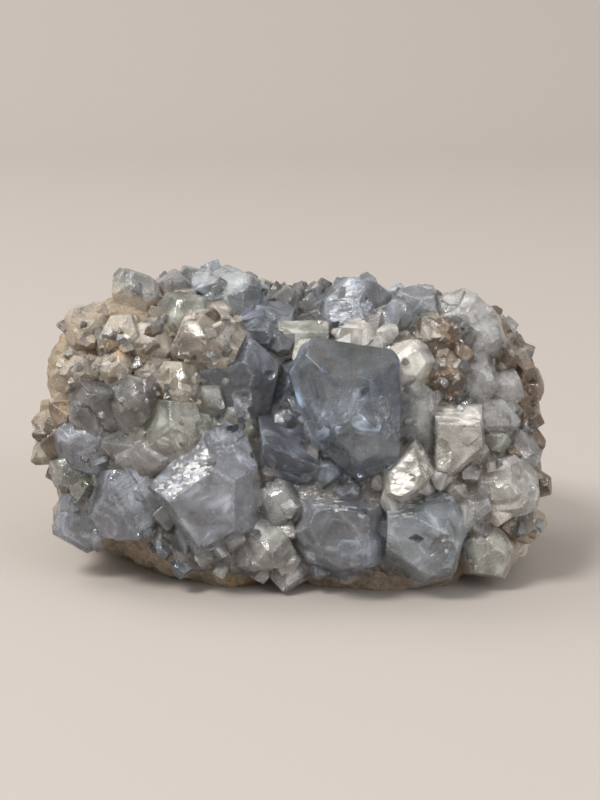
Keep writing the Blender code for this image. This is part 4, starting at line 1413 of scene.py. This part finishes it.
class CELESTITE_OT_crystals(bpy.types.Operator):
    """Make the crust of crystals grown together, and the clear ones that stand in it"""

    bl_idname = "celestite.crystals"
    bl_label = "Crystals"

    def execute(self, context):
        looks = context.scene.celestite_crystals
        # A block is a crystal's middle, its turn, and the normals and distances of its faces. The listed ones
        # come first, then the small ones that fill the crust between them
        luck = np.random.default_rng(SEED)
        blocks = cut_blocks()
        kinds = [row[0] for row in CUT_CRYSTALS]
        others, other_kinds = habit_blocks(luck)
        blocks, kinds = blocks + others, kinds + other_kinds
        listed = len(blocks)
        blocks += filling_blocks(blocks, luck)
        luck = np.random.default_rng(SEED + 1)
        kinds += nearest_kinds(blocks[listed:], blocks[:listed], kinds, luck)
        pieces = {name: helpers(name) for name in TITLES}
        chips = {name: helpers(name + "_chips") for name in pieces}
        homes = [kind if kind in pieces and n < listed else "crust" for n, kind in enumerate(kinds)]

        large, middling, small, tiny = (
            (*grid, share * looks.edge / MM) for *grid, share in (LARGE, MIDDLING, SMALL, TINY)
        )
        for number, block in enumerate(blocks):
            fineness = large if number < len(CUT_CRYSTALS) else middling if number < listed else small
            crystal_piece(number, block, fineness, pieces[homes[number]])

        # On each listed crystal: parallel growths, small crystals seated on its faces, chips and cracks
        main = list(blocks)
        added, added_kinds = [], []
        for number in range(listed):
            kind, size = kinds[number], np.median(main[number][3])
            twins = twin_blocks(main[number], int(size) if kind != "glass" else 2, luck)
            blocks += twins
            kinds += [kind] * len(twins)
            for n, twin in enumerate(twins):
                crystal_piece(len(blocks) - len(twins) + n, twin, middling, pieces[homes[number]])
            if kind != "glass":
                tries, sizes = SEAT_TRIES, SEAT_SIZE
                near = NEAR_PALE if kind in PALE_KINDS else NEAR_OTHERS
                if kind in DIRTY_KINDS:
                    tries, sizes, near = DIRTY_SEAT_TRIES, DIRTY_SEAT_SIZE, NEAR_DIRTY
                seated = grown_on(number, main, tries, sizes, luck)
                added += seated
                added_kinds += [str(luck.choice(near)) for _ in seated]
            chip_edges(number, main, 2 + int(1.2 * size), luck, chips[homes[number]])
            cracks = CRACKS.get(kind, LARGE_CRACKS if number < len(CUT_CRYSTALS) else 0)
            crack_inside(number, main[number], cracks, 0.6 * size, luck, chips[homes[number]])
        for name, numbers in (("glass", (0,)), ("crust", range(1, len(CUT_CRYSTALS)))):
            break_faces(numbers, main, luck, chips[name])
        # On the bed: knots, and grains between them
        knots = bed_crystals(main, looks.druse, KNOT_SIZE, KNOT_STRAY, luck)
        grains = bed_crystals(main + knots, looks.druse, GRAIN_SIZE, GRAIN_STRAY, luck)
        added_kinds += nearest_kinds(knots + grains, main[:listed], kinds[:listed], luck)
        first, last = len(added), len(added) + len(knots)
        added += knots + grains
        for n, block in enumerate(added):
            fineness = small if first <= n < last else tiny
            crystal_piece(len(blocks) + n, block, fineness, pieces["crust"])
        blocks += added
        kinds += added_kinds

        shells = helpers("shells")

        def bed_swell(directions):
            places = rock_surface(directions)
            covered = cover(directions)
            lumps = layered_noise(places, BED_GRAIN, SEED + 50)
            return covered * (BED_THICK + BED_SINK) - BED_SINK + lumps * covered

        shell_piece("cutter", CUTTER_STRIPS, lambda _: -CUTTER_SINK, chips["crust"])
        for cut in chips.values():
            ground_piece(CRUST_FOOT, cut)
        # Each piece is one closed mesh, grown from the bed or from its first crystal
        for name, title in TITLES.items():
            if name == "crust":
                base = shell_piece("bed", BED_STRIPS, bed_swell, shells)
            else:
                base = pieces[name].objects[0]
                pieces[name].objects.unlink(base)
                shells.objects.link(base)
            mesh = grown_together(title, base, pieces[name], chips[name])
            keep_large_bodies(mesh, LEAST_BODY)
            finish_crystals(title, mesh, blocks, kinds, name, looks)
        for used in (*pieces.values(), *chips.values(), shells):
            clear_away(used)
        return {"FINISHED"}


def nearest_kinds(small, listed, kinds, luck):
    """Kinds of small crystals: mostly that of the nearest listed one, and none of them clear."""
    middles = np.array([block[0] for block in listed])
    shares = cover(rock_directions(np.array([block[0] for block in small]))[0])
    found = []
    for block, share in zip(small, shares):
        away = np.linalg.norm(middles - block[0], axis=1) + luck.uniform(0.0, 4.0, len(listed))
        kind = kinds[int(away.argmin())]
        across, _, up = block[0]
        if share < luck.uniform(0.4, 0.95) or (abs(across) > luck.uniform(39.0, 44.0) and up > 24.0):
            kind = luck.choice(("rust", "rust", "dirty") if across > 0.0 else ("sand", "dirty", "rust"))
        elif kind in ("glass", "clear"):
            kind = luck.choice(("pale", "milky", "white"))
        elif luck.uniform() < 0.3 and kind not in ("white", "milky", "pale"):
            kind = luck.choice(("green", "slate", "smoke", "deep"))
        found.append(str(kind))
    return found


def finish_crystals(name, mesh, blocks, kinds, sort, looks):
    """Puts a crystal mesh in the scene with its attributes, material and place in the model."""
    work = bmesh.new()
    work.from_mesh(mesh)
    bmesh.ops.triangulate(work, faces=work.faces[:])
    work.to_mesh(mesh)
    work.free()
    dress_crystals(mesh, blocks, kinds, np.random.default_rng(SEED + 5))
    piece = shown_object(name, mesh, celestite_material(sort + "_celestite", looks, sort))
    mesh.set_sharp_from_angle(angle=radians(SHARP_ANGLE))
    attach(piece, "root")
    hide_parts("celestite_crust")


class CELESTITE_OT_stage(bpy.types.Operator):
    """Make the floor, the lights and the camera"""

    bl_idname = "celestite.stage"
    bl_label = "Stage"

    def execute(self, context):
        looks = context.scene.celestite_stage
        scene = context.scene
        # Floor: a flat sheet that turns up behind the specimen along a quarter circle
        along = np.linspace(-1.6, 1.6, 33)
        bend = np.linspace(0.0, pi / 2, 24)
        depth = np.concatenate(([-1.2, -0.2, 0.4], 0.7 + 0.5 * np.sin(bend), [1.2]))
        rise = np.concatenate(([0.0, 0.0, 0.0], 0.5 - 0.5 * np.cos(bend), [1.6]))
        grid = np.empty((len(depth), len(along), 3))
        grid[..., 0], grid[..., 1], grid[..., 2] = along, depth[:, None], rise[:, None]
        index = np.arange(grid.size // 3).reshape(grid.shape[:2])
        squares = (index[:-1, :-1], index[:-1, 1:], index[1:, 1:], index[1:, :-1])
        a, b, c, d = (square.ravel() for square in squares)
        triangles = np.concatenate((np.column_stack((a, b, c)), np.column_stack((a, c, d))))
        mesh = make_mesh("floor", grid.reshape(-1, 3) / MM, triangles)
        made, tree, output = new_material("pale_matt_cloth")
        shader = add(tree, "BsdfPrincipled", {"Base Color": (*looks.floor, 1.0), "Roughness": 0.9})
        tree.links.new(shader, output.inputs["Surface"])
        floor = shown_object("floor", mesh, made)

        axes = sight_frame()
        camera = bpy.data.objects.new("camera", bpy.data.cameras.new("camera"))
        scene.collection.objects.link(camera)
        camera.data.lens = SENSOR * SEEN_FROM / SEEN_WIDTH
        camera.data.clip_start, camera.data.clip_end = 0.01, 10.0
        place = SIGHT_ORIGIN + axes @ np.array(CAMERA_PLACE)
        turn = Matrix(axes.tolist()).to_4x4()
        camera.matrix_world = Matrix.Translation(Vector(place * MM)) @ turn
        scene.camera = camera

        for name, where, size, tone in LIGHTS:
            lamp = bpy.data.objects.new(name, bpy.data.lights.new(name, "AREA"))
            lamp.data.shape, lamp.data.size = "SQUARE", size
            lamp.data.energy, lamp.data.color = getattr(looks, name), tone
            aim = (Vector(LIGHTS_AIM) - Vector(where)).to_track_quat("-Z", "Y")
            lamp.matrix_world = Matrix.Translation(where) @ aim.to_matrix().to_4x4()
            scene.collection.objects.link(lamp)
        # Room: bright overhead and dim near the floor, which glossy faces mirror
        world = bpy.data.worlds.new("studio")
        world.use_nodes = True
        tree = world.node_tree
        up = add(tree, "SeparateXYZ", {0: add(tree, "TexCoord", out="Generated")}, out=2)
        strength = add(tree, "MapRange", {"Value": up, "From Max": 0.9, "To Min": 0.34})
        background = tree.nodes["Background"]
        background.inputs["Color"].default_value = ROOM_COLOUR
        tree.links.new(strength, background.inputs["Strength"])
        scene.world = world
        scene.view_settings.view_transform = "Standard"
        return {"FINISHED"}


class CELESTITE_PT_panel(bpy.types.Panel):
    """Sizes and finishes of the specimen"""

    bl_idname = "CELESTITE_PT_panel"
    bl_label = "Celestite"
    bl_space_type = "VIEW_3D"
    bl_region_type = "UI"
    bl_category = "Celestite"

    def draw(self, context):
        scene = context.scene
        for group in (scene.celestite_rock, scene.celestite_crystals, scene.celestite_stage):
            box = self.layout.box()
            for name in group.bl_rna.properties.keys():
                if name not in ("rna_type", "name"):
                    box.prop(group, name)
        for operator in OPERATORS:
            self.layout.operator(operator.bl_idname)


OPERATORS = (CELESTITE_OT_rock, CELESTITE_OT_crystals, CELESTITE_OT_stage)
CLASSES = (CrystalLooks, RockLooks, StageLooks, *OPERATORS, CELESTITE_PT_panel)


def register():
    for item in CLASSES:
        bpy.utils.register_class(item)
    bpy.types.Scene.celestite_crystals = PointerProperty(type=CrystalLooks)
    bpy.types.Scene.celestite_rock = PointerProperty(type=RockLooks)
    bpy.types.Scene.celestite_stage = PointerProperty(type=StageLooks)


def unregister():
    del bpy.types.Scene.celestite_stage
    del bpy.types.Scene.celestite_rock
    del bpy.types.Scene.celestite_crystals
    for item in reversed(CLASSES):
        bpy.utils.unregister_class(item)


def main():
    register()
    for old in [item for item in bpy.context.scene.objects if item.name in ("Cube", "Light", "Camera")]:
        bpy.data.objects.remove(old)
    bpy.ops.celestite.rock()
    bpy.ops.celestite.crystals()
    bpy.ops.celestite.stage()
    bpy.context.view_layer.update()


if __name__ == "__main__":
    main()
